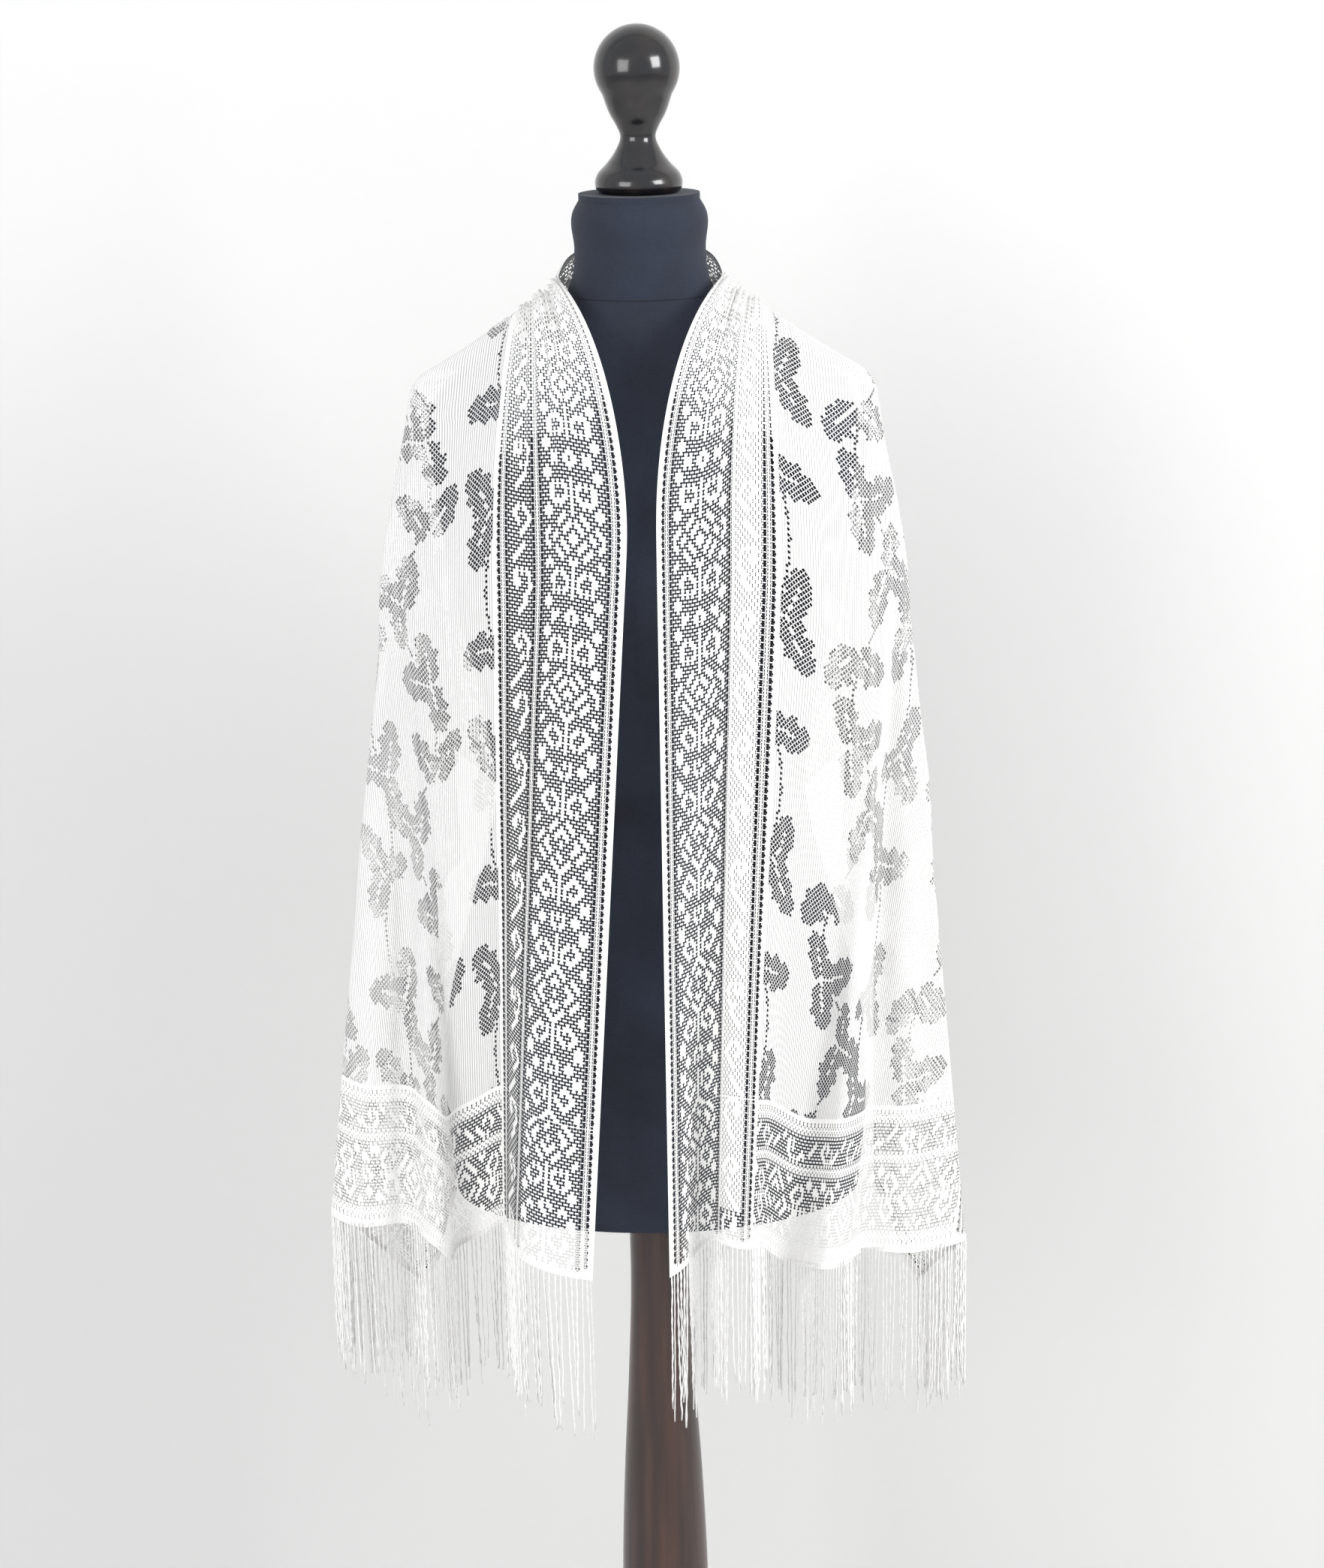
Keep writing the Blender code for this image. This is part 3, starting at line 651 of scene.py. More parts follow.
def fan_places(folds):
    """Places along every fan line, step by step, each line keeping its length as it falls."""
    fans = np.linspace(0.0, 3.0, FAN_LINES)
    drops = np.arange(0.0, HALF_LENGTH + LINE_SPARE, LATTICE)
    fan, drop = np.meshgrid(fans, drops, indexing="ij")
    ridge_table = np.asarray(RIDGE)
    fold_table = np.asarray(folds)
    ridge = smooth_curve(ridge_table[:, 0], ridge_table[:, 1:], fan)
    lines = smooth_curve(fold_table[:, 0], fold_table[:, 1:], fan)
    reach = np.sin(np.clip(drop / CHEST_DROP, 0.0, 1.0) * math.pi / 2)[..., None]
    below = ((drop - CHEST_DROP) / (HEM_DROP - CHEST_DROP))[..., None]
    hung = lines[..., 0:2] + (lines[..., 2:4] - lines[..., 0:2]) * np.maximum(below, 0.0)
    plan = ridge[..., 0:2] + (hung - ridge[..., 0:2]) * reach
    slide = np.linalg.norm(np.gradient(plan, LATTICE, axis=1), axis=2)
    fall = np.sqrt(np.maximum(1.0 - slide ** 2, LEAST_FALL))
    height = np.cumsum(fall, axis=1) * LATTICE
    take_up = lines[..., 4] * np.clip(drop / HEM_DROP, 0.0, 1.0)
    level = ridge[..., 2] - (height - height[:, 0:1]) + take_up
    return np.concatenate([plan, level[..., None]], axis=2)


def spline_shares(t):
    """Shares of four neighbours in a smooth curve between the middle two."""
    return (
        0.5 * (-t + 2 * t ** 2 - t ** 3),
        0.5 * (2 - 5 * t ** 2 + 3 * t ** 3),
        0.5 * (t + 4 * t ** 2 - 3 * t ** 3),
        0.5 * (-t ** 2 + t ** 3),
    )


def read_grid(grid, row, column):
    """Read a grid of places smoothly between its lines."""
    row = np.clip(row, 1.0, grid.shape[0] - 2.001)
    column = np.clip(column, 1.0, grid.shape[1] - 2.001)
    top = row.astype(int)
    left = column.astype(int)
    across = row - top
    along = column - left
    total = 0.0
    for i, row_share in enumerate(spline_shares(across)):
        for j, column_share in enumerate(spline_shares(along)):
            share = (row_share * column_share)[..., None]
            total = total + grid[top + i - 1, left + j - 1] * share
    return total


def relax(places):
    """Round every crease a little, with the edges kept."""
    soft = places.copy()
    soft[1:-1, :] = (places[:-2, :] + 2 * places[1:-1, :] + places[2:, :]) / 4
    done = soft.copy()
    done[:, 1:-1] = (soft[:, :-2] + 2 * soft[:, 1:-1] + soft[:, 2:]) / 4
    return done


def outward(places):
    """Unit normals of a lattice of places, away from the form."""
    normal = np.cross(np.gradient(places, axis=0), np.gradient(places, axis=1))
    return normal / np.maximum(np.linalg.norm(normal, axis=2, keepdims=True), 1e-12)


def crease_lift(u, v):
    """Height of the small creases at flat points, fading out along each crease."""
    lift = np.zeros_like(u)
    for start_u, start_v, end_u, end_v, half_width, height in CREASES:
        run_u = end_u - start_u
        run_v = end_v - start_v
        share = ((u - start_u) * run_u + (v - start_v) * run_v) / (run_u ** 2 + run_v ** 2)
        held = np.clip(share, 0.0, 1.0)
        away = np.hypot(u - start_u - held * run_u, v - start_v - held * run_v)
        lift += height * np.sin(math.pi * held) * np.exp(-(away / half_width) ** 2)
    fan, drop = fan_and_drop(np.abs(u), np.clip(v, 0.0, WIDTH))
    bunched = np.clip(1.0 - drop / FINE_GATHER_FADE, 0.0, 1.0) * np.clip(np.abs(u) / NECK_U, 0.0, 1.0)
    bunched *= np.clip(FINE_GATHER_REACH - v / BORDER, 0.0, 1.0)
    uneven = v + FINE_GATHER_WANDER * np.sin(math.tau * v / FINE_GATHER_WANDER_PITCH)
    lift += FINE_GATHER_HEIGHT * bunched * np.sin(math.tau * uneven / FINE_GATHER_PITCH)
    first, last = RIPPLE_FANS
    flared = np.clip((fan - first) / RIPPLE_EASE, 0.0, 1.0) * np.clip((last - fan) / RIPPLE_EASE, 0.0, 1.0)
    behind = np.clip((fan - RIPPLE_FRONT_END) / RIPPLE_EASE, 0.0, 1.0)
    flared *= RIPPLE_FRONT_SHARE + (1.0 - RIPPLE_FRONT_SHARE) * behind
    phase = fan * RIPPLES + RIPPLE_DRIFT * np.sin(math.tau * fan * RIPPLE_DRIFT_TURNS)
    swell = 1.0 - RIPPLE_SWELL + RIPPLE_SWELL * np.sin(math.tau * fan * RIPPLE_SWELL_TURNS + 1.0)
    lift += RIPPLE_HEIGHT * np.minimum(drop, RIPPLE_FULL_DROP) * flared * swell * np.sin(math.tau * phase)
    return lift


def drape():
    """Places and normals of the whole shawl on an even lattice of its flat cut, with the fringe."""
    count = int(round((HALF_LENGTH + FRINGE_LENGTH * FRINGE_SPARE) / LATTICE))
    across = int(round(WIDTH / LATTICE))
    u, v = np.meshgrid(
        np.arange(-count, count + 1) * LATTICE,
        np.arange(-1, across + 2) * LATTICE,
        indexing="ij",
    )
    fan, drop = fan_and_drop(np.abs(u), np.clip(v, 0.0, WIDTH))
    row = fan / 3.0 * (FAN_LINES - 1)
    right = read_grid(fan_places(RIGHT_FOLDS), row, drop / LATTICE)
    left = read_grid(fan_places(LEFT_FOLDS), row, drop / LATTICE)
    left[..., 0] *= -1.0
    blend = np.clip(0.5 + u / (2 * NECK_U), 0.0, 1.0)[..., None]
    places = np.where(u[..., None] > 0.0, right, left)
    places[..., 1:] = right[..., 1:] * blend + left[..., 1:] * (1.0 - blend)
    for _ in range(RELAX_ROUNDS):
        places = clear_of_form(relax(places))
    fade = np.clip(1.0 - drop / np.where(fan < 1.0, GATHER_FADE, GATHER_FADE_BEHIND), 0.0, 1.0) ** 2
    fade *= np.clip(np.abs(u) / NECK_U, 0.0, 1.0) ** 2
    bunch = np.clip(GATHER_REACH - v / (BORDER + GATHER_SPARE), 0.0, 1.0)
    wave = GATHER_HEIGHT * fade * bunch * (1.0 - np.cos(math.tau * v / GATHER_PITCH))
    places = relax(places + outward(places) * wave[..., None])
    edge = int(round(HALF_LENGTH / LATTICE))
    for side in (-1, 1):
        hem = places[count + side * edge]
        for step in range(1, count - edge + 1):
            places[count + side * (edge + step)] = hem - np.array((0.0, 0.0, step * LATTICE))
    normals = outward(places)
    for _ in range(NORMAL_ROUNDS):
        normals = relax(normals)
    return places, normals


def hang(flat, cloth):
    """Carry flat points, with their lift as the third value, to the form."""
    places, normals = cloth
    u, v = flat[:, 0], flat[:, 1]
    row = u / LATTICE + (places.shape[0] - 1) / 2
    column = v / LATTICE + 1.0
    normal = read_grid(normals, row, column)
    normal /= np.maximum(np.linalg.norm(normal, axis=-1, keepdims=True), 1e-12)
    return read_grid(places, row, column) + normal * flat[:, 2:3]


def hang_mesh(mesh, cloth, creased=True):
    """Move a flat mesh to its place on the form, keeping the flat place as a UV map in metres."""
    flat = np.empty(len(mesh.vertices) * 3)
    mesh.vertices.foreach_get("co", flat)
    flat = flat.reshape(-1, 3)
    corners = np.empty(len(mesh.loops), dtype=np.int32)
    mesh.loops.foreach_get("vertex_index", corners)
    chart = mesh.uv_layers.new(name="flat")
    chart.uv.foreach_set("vector", flat[corners, :2].astype(np.float32).ravel())
    if creased:
        flat[:, 2] += crease_lift(flat[:, 0], flat[:, 1])
    mesh.vertices.foreach_set("co", clear_of_form(hang(flat, cloth)).ravel())
    mesh.update()
    mesh.shade_smooth()


def band_chart(edge_distance, along, on_hem):
    """Which cells of a lace border are open, and how large, worked out from the distance to its edge."""
    open_u = np.full(edge_distance.shape, NET_HOLE[0])
    open_v = np.full(edge_distance.shape, NET_HOLE[1])
    is_open = np.zeros(edge_distance.shape, bool)
    ladders = ((SELVEDGE, DIAMOND_BAND[0]), (DIAMOND_BAND[1], SCROLL_BAND[0]), (SCROLL_BAND[1], BORDER_PLAIN))
    for start, stop in ladders:
        inside = (edge_distance > start) & (edge_distance < stop)
        middle = np.abs(edge_distance - (start + stop) / 2) < WALE
        is_open |= inside
        for here, hole, slit in (
            (inside & ~on_hem, LADDER_HOLE, LADDER_SLIT),
            (inside & on_hem, HEM_LADDER_HOLE, HEM_LADDER_SLIT),
        ):
            open_u = np.where(here, np.where(middle, slit[0], hole[0]), open_u)
            open_v = np.where(here, np.where(middle, slit[1], hole[1]), open_v)
    half = (DIAMOND_BAND[1] - DIAMOND_BAND[0]) / 2
    side = np.abs(along - DIAMOND_REPEAT * np.round(along / DIAMOND_REPEAT))
    rise = np.abs(edge_distance - sum(DIAMOND_BAND) / 2)
    inside = rise < half
    ring = side / DIAMOND_HALF[0] + rise / DIAMOND_HALF[1]
    figure = np.zeros(edge_distance.shape, bool)
    for line in DIAMOND_LINES:
        figure |= np.abs(ring - line) < DIAMOND_LINE_HALF
    for round_side, round_rise, inner, outer in BAND_ROUNDS:
        radius = np.hypot(side - round_side, rise - round_rise)
        figure |= (radius >= inner) & (radius < outer)
    figure |= (rise < BAND_LINE_HALF) & (side > DIAMOND_HALF[0]) & (side < BAND_LINE_END)
    edge_net = rise > half - EDGE_NET_WALES * WALE
    is_open |= inside & (~figure | edge_net)
    half = (SCROLL_BAND[1] - SCROLL_BAND[0]) / 2
    side = along - SCROLL_REPEAT * np.round(along / SCROLL_REPEAT)
    rise = edge_distance - sum(SCROLL_BAND) / 2
    inside = np.abs(rise) < half
    turn = np.arctan2(rise, side)
    radius = np.hypot(side, rise)
    coil = np.abs(radius - SCROLL_EYE - SCROLL_GROWTH * ((turn / math.tau) % 1.0)) < SCROLL_LINE_HALF
    coil |= radius < SCROLL_LINE_HALF
    slant = SCROLL_LINK_SLOPE * (side - SCROLL_REPEAT / 2 * np.sign(side))
    link = np.abs(rise - slant) < SCROLL_LINE_HALF
    link &= np.abs(side) > SCROLL_REPEAT * SCROLL_LINK_START
    is_open |= inside & ~coil & ~link
    return is_open, open_u, open_v


def border_chart(u, v):
    """Open cells and their sizes over the whole border: the long edges run on through the corners."""
    near_long = np.minimum(v, WIDTH - v)
    near_hem = HALF_LENGTH - np.abs(u)
    on_long = near_long < BORDER
    edge_distance = np.where(on_long, near_long, near_hem)
    along = np.where(on_long, np.abs(u), v - WIDTH / 2)
    is_open, open_u, open_v = band_chart(edge_distance, along, ~on_long)
    return is_open & (near_hem > SELVEDGE), open_u, open_v


def squeezed_share(u, v):
    """How far the net's holes stay open: less where it is bunched at the neck or lies on itself."""
    _, drop = fan_and_drop(np.abs(u), v)
    bunched = np.clip(1.0 - drop / NECK_SQUEEZE, 0.0, 1.0) * np.clip(np.abs(u) / NECK_U, 0.0, 1.0)
    share = 1.0 - (1.0 - NECK_OPEN) * bunched
    doubled = (u > DOUBLED_U[0]) & (u < DOUBLED_U[1]) & (v > DOUBLED_V[0]) & (v < DOUBLED_V[1])
    return np.where(doubled, np.minimum(share, DOUBLED_OPEN), share)


def in_sprays(u, v):
    """Whether flat points of the ground lie in the open net of a leaf or stem."""
    long, wide = SPRAY_REPEAT
    band = np.floor(v / wide)
    place_u = (u + band * long / 2) % long
    place_v = v - band * wide
    open_net = np.zeros(u.shape, bool)
    for leaf_u, leaf_v, turn, length, width in SPRAY_LEAVES:
        c, s = math.cos(math.radians(turn)), math.sin(math.radians(turn))
        off_u = (place_u - leaf_u - length / 2 * c + long / 2) % long - long / 2
        off_v = (place_v - leaf_v - length / 2 * s + wide / 2) % wide - wide / 2
        along = (off_u * c + off_v * s) / length + 0.5
        across = (off_v * c - off_u * s) / (width / 2 * LEAF_FULLNESS) + LEAF_BEND * np.sin(math.pi * along)
        held = np.clip(along, 0.0, 1.0)
        wave = np.abs(np.sin(LEAF_LOBES * math.pi * held ** LEAF_LOBE_CROWDING + LEAF_LOBE_START))
        lobes = 1.0 - LEAF_LOBE_DEPTH + LEAF_LOBE_DEPTH * wave
        reach = np.sqrt(np.sin(math.pi * held ** LEAF_BELLY)) * lobes
        leaf = (along > LEAF_STALK) & (along < 1.0) & (np.abs(across) < reach)
        vein = (np.abs(across) < VEIN_HALF) & (along < VEIN_LENGTH)
        open_net |= leaf & ~vein
    for stem, reach in zip(STEM_PLACE, STEM_SWING):
        swing = reach * np.sin(math.tau * (place_u - STEM_PHASE) / long)
        open_net |= np.abs(place_v - stem - swing) < STEM_HALF
    return open_net


def flat_grid(u_range, v_range, columns, rows):
    """A flat rectangle of cells in the cloth's own coordinates."""
    form = bmesh.new()
    bmesh.ops.create_grid(form, x_segments=columns, y_segments=rows, size=0.5)
    size = (u_range[1] - u_range[0], v_range[1] - v_range[0], 1.0)
    centre = ((u_range[0] + u_range[1]) / 2, (v_range[0] + v_range[1]) / 2, 0.0)
    bmesh.ops.scale(form, vec=size, verts=form.verts)
    bmesh.ops.translate(form, vec=centre, verts=form.verts)
    return form


def cut_holes(form, faces, shares):
    """Open a hole in each face, shaped as the face and scaled by its shares along u and v."""
    bmesh.ops.inset_individual(form, faces=faces, thickness=HOLE_INSET)
    for face, (share_u, share_v) in zip(faces, shares):
        centre = face.calc_center_median()
        for vert in face.verts:
            vert.co.x = centre.x + (vert.co.x - centre.x) * share_u
            vert.co.y = centre.y + (vert.co.y - centre.y) * share_v
    bmesh.ops.delete(form, geom=faces, context="FACES")


def face_centres(form):
    """Centres of every face, as one array."""
    return np.array([face.calc_center_median()[:2] for face in form.faces])


def border_piece(name, u_range, v_range, cloth, finish):
    """One stretch of the lace border: a six-sided net with the pattern's cells opened."""
    columns = round((u_range[1] - u_range[0]) / COURSE) * 2
    rows = round((v_range[1] - v_range[0]) / WALE)
    form = flat_grid(u_range, v_range, columns, rows)
    step_u = (u_range[1] - u_range[0]) / columns
    step_v = (v_range[1] - v_range[0]) / rows
    spare = []
    for edge in form.edges:
        if edge.is_boundary or abs(edge.verts[0].co.x - edge.verts[1].co.x) > step_u / 2:
            continue
        line = round((edge.verts[0].co.x - u_range[0]) / step_u)
        wale = int(((edge.verts[0].co.y + edge.verts[1].co.y) / 2 - v_range[0]) / step_v)
        if (line + wale) % 2:
            spare.append(edge)
    for vert in form.verts:
        if vert.is_boundary:
            continue
        line = round((vert.co.x - u_range[0]) / step_u)
        wale = round((vert.co.y - v_range[0]) / step_v)
        vert.co.y += NET_BULGE if (line + wale) % 2 else -NET_BULGE
    bmesh.ops.dissolve_edges(form, edges=spare)
    centres = face_centres(form)
    is_open, open_u, open_v = border_chart(centres[:, 0], centres[:, 1])
    squeezed = squeezed_share(centres[:, 0], centres[:, 1])
    open_u, open_v = open_u * np.sqrt(squeezed), open_v * squeezed
    faces = [face for face, cut in zip(form.faces[:], is_open) if cut]
    cut_holes(form, faces, np.stack([open_u, open_v], axis=1)[is_open])
    return finish_cloth(form, name, cloth, finish)


def ground_piece(name, u_range, v_range, cloth, finish):
    """One stretch of the ribbed ground: a fine diagonal net, opened only in the leaf sprays."""
    form = bmesh.new()
    middle = ((u_range[0] + u_range[1]) / 2, (v_range[0] + v_range[1]) / 2, 0.0)
    span = (u_range[1] - u_range[0]) + (v_range[1] - v_range[0])
    cells = round(span / (LEAF_NET * 2))
    bmesh.ops.create_grid(form, x_segments=cells, y_segments=cells, size=0.5)
    bmesh.ops.rotate(form, verts=form.verts, matrix=Matrix.Rotation(math.radians(45), 3, "Z"))
    stretch = span / math.sqrt(2) * NET_SPARE
    bmesh.ops.scale(form, vec=(stretch, stretch, 1.0), verts=form.verts)
    bmesh.ops.translate(form, vec=middle, verts=form.verts)
    for place, direction in (
        ((u_range[0], 0.0, 0.0), (-1.0, 0.0, 0.0)),
        ((u_range[1], 0.0, 0.0), (1.0, 0.0, 0.0)),
        ((0.0, v_range[0], 0.0), (0.0, -1.0, 0.0)),
        ((0.0, v_range[1], 0.0), (0.0, 1.0, 0.0)),
    ):
        whole = form.verts[:] + form.edges[:] + form.faces[:]
        bmesh.ops.bisect_plane(form, geom=whole, plane_co=place, plane_no=direction, clear_outer=True)
    centres = face_centres(form)
    opened = in_sprays(centres[:, 0], centres[:, 1])
    faces = [face for face, cut in zip(form.faces[:], opened) if cut]
    cut_holes(form, faces, [(LEAF_HOLE, LEAF_HOLE)] * len(faces))
    return finish_cloth(form, name, cloth, finish)


def finish_cloth(form, name, cloth, finish):
    """Hang a flat bmesh on the form as one thin piece, and give its flat area net of holes."""
    area = sum(face.calc_area() for face in form.faces)
    mesh = bpy.data.meshes.new(name)
    form.to_mesh(mesh)
    form.free()
    hang_mesh(mesh, cloth)
    return add_object(name, mesh, finish), area


def fringe(name, side, cloth, finish):
    """Paired thin threads along one short end, clumping, swaying and ending unevenly."""
    template = bmesh.new()
    bmesh.ops.create_cone(template, cap_ends=True, segments=3, radius1=THREAD_RADIUS,
                          radius2=THREAD_RADIUS, depth=1.0)
    long_edges = [edge for edge in template.edges
                  if abs(edge.verts[0].co.z - edge.verts[1].co.z) > 0.5]
    bmesh.ops.subdivide_edges(template, edges=long_edges, cuts=THREAD_STEPS - 1, use_grid_fill=False)
    thread = bpy.data.meshes.new("thread")
    template.to_mesh(thread)
    template.free()
    form = bmesh.new()
    threads = FRINGE_PAIRS * 2
    for _ in range(threads):
        form.from_mesh(thread)
    mesh = bpy.data.meshes.new(name)
    form.to_mesh(mesh)
    form.free()
    bpy.data.meshes.remove(thread)
    places = np.empty(len(mesh.vertices) * 3)
    mesh.vertices.foreach_get("co", places)
    places = places.reshape(threads, -1, 3)
    chance = np.random.default_rng(FRINGE_SEEDS[side])
    down = places[..., 2] + 0.5
    pair = (np.arange(threads) // 2)[:, None]
    member = (np.arange(threads) % 2)[:, None]
    length = FRINGE_LENGTH * chance.uniform(*THREAD_LENGTHS, (FRINGE_PAIRS, 1))[pair[:, 0]]
    length = length * np.where(member == 0, 1.0, chance.uniform(*SECOND_THREAD, (threads, 1)))
    root = (pair + 0.5) * WIDTH / FRINGE_PAIRS
    clump = np.round(pair / CLUMP_PAIRS) * CLUMP_PAIRS * WIDTH / FRINGE_PAIRS
    drift = np.cumsum(chance.normal(0.0, 1.0, (FRINGE_PAIRS, THREAD_STEPS + 1)), axis=1)[pair[:, 0]]
    step = np.clip((down * THREAD_STEPS).round().astype(int), 0, THREAD_STEPS)
    wander = np.take_along_axis(drift, step, axis=1) * THREAD_WANDER
    pull = (clump - root) * CLUMP_PULL * down ** CLUMP_EASE
    twist = math.tau * (down * THREAD_TURNS + pair * PAIR_TURN) + member * math.pi
    across = root + pull + wander + np.cos(twist) * THREAD_TWIST
    lift = np.sin(twist) * THREAD_TWIST + chance.normal(0.0, THREAD_SPREAD, (threads, 1)) * down
    flat = np.empty((threads * places.shape[1], 3))
    flat[:, 0] = (side * (HALF_LENGTH - FRINGE_ROOT + (length + FRINGE_ROOT) * down)).ravel()
    flat[:, 1] = (across + places[..., 0]).ravel()
    flat[:, 2] = (lift + places[..., 1]).ravel()
    mesh.vertices.foreach_set("co", flat.ravel())
    mesh.update()
    hang_mesh(mesh, cloth, creased=False)
    return add_object(name, mesh, finish)


def build_torso(finish):
    """The jersey-covered body of the form, with its neck and the stem under the finial."""
    table = np.asarray(TORSO)
    form = bmesh.new()
    heights = np.interp(np.linspace(0.0, len(table) - 1, TORSO_RINGS), range(len(table)), table[:, 0])
    loops = []
    for z, (width, front, back) in zip(heights, smooth_curve(table[:, 0], table[:, 1:], heights)):
        ring = bmesh.ops.create_circle(form, segments=TORSO_SIDES, radius=1.0)["verts"]
        for vert in ring:
            depth = front if vert.co.y < 0.0 else back
            vert.co = (vert.co.x * width, vert.co.y * depth, z)
        loops.append(ring)
    for lower, upper in zip(loops, loops[1:]):
        edges = []
        for ring in (lower, upper):
            kept = set(ring)
            for vert in ring:
                edges += [edge for edge in vert.link_edges
                          if edge.other_vert(vert) in kept and edge not in edges]
        bmesh.ops.bridge_loops(form, edges=edges)
    form.faces.new(loops[0])
    crown = form.faces.new(loops[-1])
    bmesh.ops.inset_individual(form, faces=[crown], thickness=TORSO[-1][1] - STEM_RADIUS)
    lifted = bmesh.ops.extrude_discrete_faces(form, faces=[crown])["faces"][0]
    for vert in lifted.verts:
        vert.co.z = STEM_TOP
    bmesh.ops.recalc_face_normals(form, faces=form.faces)
    mesh = bpy.data.meshes.new("torso_jersey")
    form.to_mesh(mesh)
    form.free()
    mesh.shade_smooth()
    mesh.set_sharp_from_angle(angle=math.radians(TORSO_SHARP_ANGLE))
    return add_object("torso_jersey", mesh, finish)


def build_turned(name, profile, finish):
    """A turned piece: its profile, top to bottom, spun round the axis."""
    form = bmesh.new()
    points = [(0.0, 0.0, profile[0][1])]
    points += [(radius, 0.0, z) for radius, z in profile]
    points += [(0.0, 0.0, profile[-1][1])]
    verts = [form.verts.new(point) for point in points]
    for near, far in zip(verts, verts[1:]):
        form.edges.new((near, far))
    bmesh.ops.spin(form, geom=form.verts[:] + form.edges[:], cent=(0.0, 0.0, 0.0), axis=(0.0, 0.0, 1.0),
                   angle=math.tau, steps=TURNED_SIDES, use_merge=True)
    bmesh.ops.remove_doubles(form, verts=form.verts, dist=1e-6)
    bmesh.ops.recalc_face_normals(form, faces=form.faces)
    mesh = bpy.data.meshes.new(name)
    form.to_mesh(mesh)
    form.free()
    mesh.shade_smooth()
    mesh.set_sharp_from_angle(angle=math.radians(TURNED_SHARP_ANGLE))
    return add_object(name, mesh, finish)


def fine_profile(rows, steps):
    """A profile read smoothly between its table rows."""
    table = np.asarray(rows)
    run = np.concatenate([[0.0], np.cumsum(np.hypot(*np.diff(table, axis=0).T))])
    return [tuple(row) for row in smooth_curve(run, table, np.linspace(0.0, run[-1], steps))]


def build_stand(lacquer, wood):
    """The finial, pole and base, as fine turnings of the same profiles."""
    ball = []
    for angle in np.radians(np.linspace(*BALL_SPAN, BALL_STEPS)):
        ball.append((BALL_RADIUS * math.sin(angle), BALL_CENTRE + BALL_RADIUS * math.cos(angle)))
    finial = build_turned("finial_lacquer", ball + fine_profile(FINIAL_BELOW_BALL, FINIAL_STEPS)[1:], lacquer)
    pole = build_turned("pole_wood", fine_profile(POLE, POLE_STEPS), wood)
    foot = fine_profile(BASE[:BASE_ROUNDED_ROWS], BASE_STEPS) + list(BASE[BASE_ROUNDED_ROWS:])
    base = build_turned("base_wood", foot, wood)
    return finial, pole, base


def place(piece, node, slot):
    """Let a piece stand for its node, on the part's one body."""
    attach(piece, "root")
    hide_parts(node)


def build_cloth():
    """Every stretch of lace and ground, and the two fringes."""
    cloth = drape()
    lace = lace_material()
    ground = ground_material()
    thread = thread_material()
    end = HALF_LENGTH - BORDER
    stretches = {
        "left": (-end, -BACK_STRETCH),
        "back": (-BACK_STRETCH, BACK_STRETCH),
        "right": (BACK_STRETCH, end),
    }
    pieces = []
    for stretch, u_range in stretches.items():
        for band, v_range in (("neck_border", (0.0, BORDER)), ("outer_border", (WIDTH - BORDER, WIDTH))):
            name = f"{band}_{stretch}"
            piece = border_piece(f"{name}_lace", u_range, v_range, cloth, lace)
            pieces.append((name, u_range, v_range, piece))
        name = f"ground_{stretch}"
        v_range = (BORDER, WIDTH - BORDER)
        pieces.append((name, u_range, v_range, ground_piece(f"{name}_lace", u_range, v_range, cloth, ground)))
    for stretch, side in (("left", -1), ("right", 1)):
        u_range = sorted((side * end, side * HALF_LENGTH))
        name = f"hem_border_{stretch}"
        v_range = (0.0, WIDTH)
        pieces.append((name, u_range, v_range, border_piece(f"{name}_lace", u_range, v_range, cloth, lace)))
    for name, u_range, v_range, (piece, area) in pieces:
        place(piece, name, "white_lace")
    for stretch, side in (("left", -1), ("right", 1)):
        piece = fringe(f"fringe_{stretch}_threads", side, cloth, thread)
        place(piece, f"fringe_{stretch}", "white_thread")


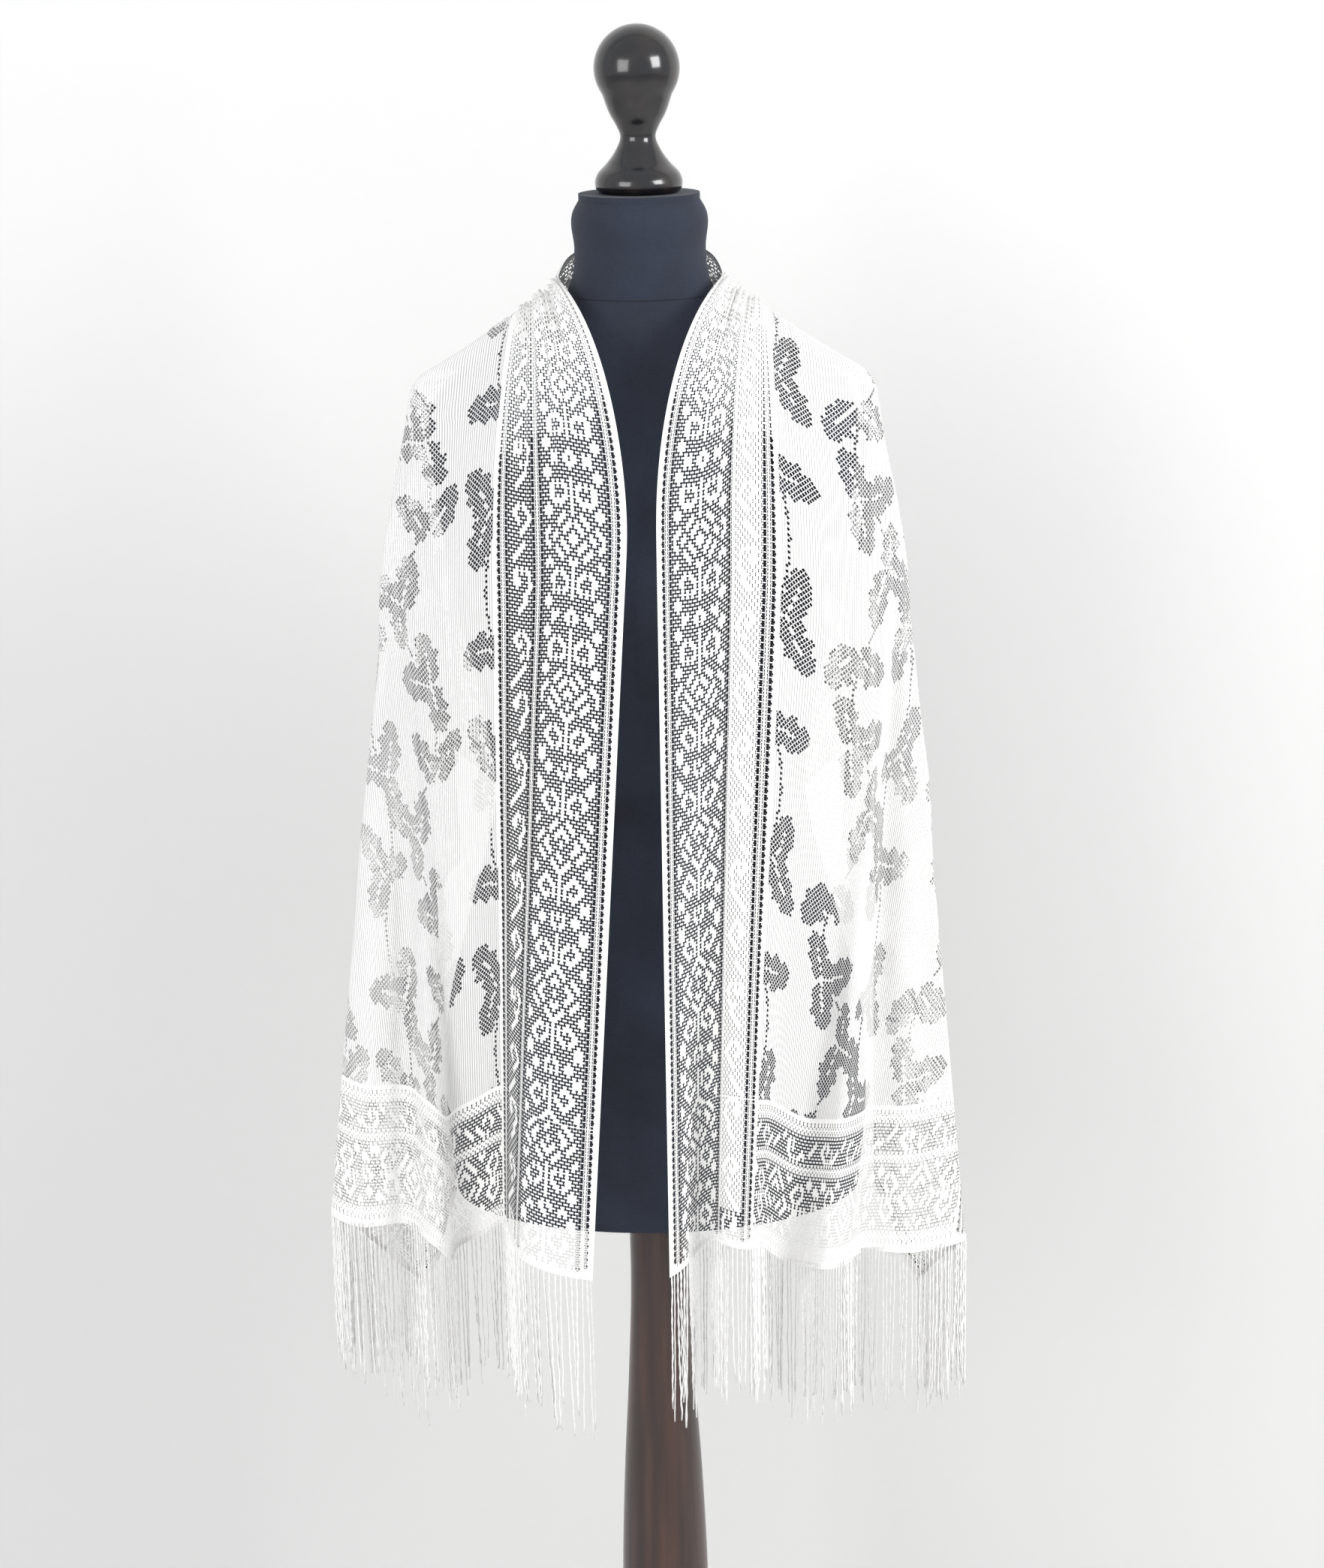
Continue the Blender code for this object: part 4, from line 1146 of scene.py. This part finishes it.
def build_stage():
    """A pale floor with a pale wall behind."""
    form = bmesh.new()
    bmesh.ops.create_grid(form, x_segments=1, y_segments=1, size=FLOOR_HALF)
    mesh = bpy.data.meshes.new("floor")
    form.to_mesh(mesh)
    floor = add_object("floor", mesh, plain_material("pale_floor", "D6D5D3", 0.8))
    bmesh.ops.rotate(form, verts=form.verts, matrix=Matrix.Rotation(math.radians(90), 3, "X"))
    bmesh.ops.translate(form, vec=WALL_PLACE, verts=form.verts)
    mesh = bpy.data.meshes.new("wall")
    form.to_mesh(mesh)
    form.free()
    wall = add_object("wall", mesh, wall_material())


def add_light(name, place, size, power):
    """A soft square light that faces the shawl."""
    lamp = bpy.data.lights.new(name, "AREA")
    lamp.energy = power
    lamp.size = size
    light = bpy.data.objects.new(name, lamp)
    light.location = place
    light.rotation_euler = (Vector(LIGHT_TARGET) - Vector(place)).to_track_quat("-Z", "Y").to_euler()
    bpy.context.scene.collection.objects.link(light)


def build_light():
    """Even daylight, stronger from the right."""
    scene = bpy.context.scene
    world = bpy.data.worlds.new("daylight")
    world.use_nodes = True
    sky = world.node_tree.nodes["Background"]
    sky.inputs["Color"].default_value = linear(DAYLIGHT)
    sky.inputs["Strength"].default_value = DAYLIGHT_STRENGTH
    scene.world = world
    for name, place, size, power in LIGHTS:
        add_light(name, place, size, power)
    scene.view_settings.view_transform = "Standard"
    scene.cycles.max_bounces = 5
    scene.cycles.diffuse_bounces = 3
    scene.cycles.glossy_bounces = 2
    scene.cycles.transparent_max_bounces = 10
    scene.cycles.caustics_reflective = False
    scene.cycles.caustics_refractive = False
    scene.cycles.use_adaptive_sampling = True
    scene.cycles.adaptive_threshold = 0.04


def build_camera():
    """The view from the front, a little above, turned as in the picture."""
    camera = bpy.data.cameras.new("camera")
    camera.lens = CAMERA_LENS
    camera.sensor_width = CAMERA_SENSOR
    camera.sensor_fit = "AUTO"
    seen = bpy.data.objects.new("camera", camera)
    seen.location = CAMERA_PLACE
    seen.rotation_euler = (math.radians(90 - CAMERA_TILT), math.radians(CAMERA_ROLL), 0.0)
    bpy.context.scene.collection.objects.link(seen)
    bpy.context.scene.camera = seen


def main():
    """Build every piece, the stage, the light and the camera."""
    torso = build_torso(jersey_material())
    place(torso, "torso", "black_jersey")
    finial, pole, base = build_stand(lacquer_material(), wood_material())
    place(finial, "finial", "black_lacquer")
    place(pole, "pole", "dark_wood")
    place(base, "base", "dark_wood")
    build_cloth()
    build_stage()
    build_light()
    build_camera()


main()
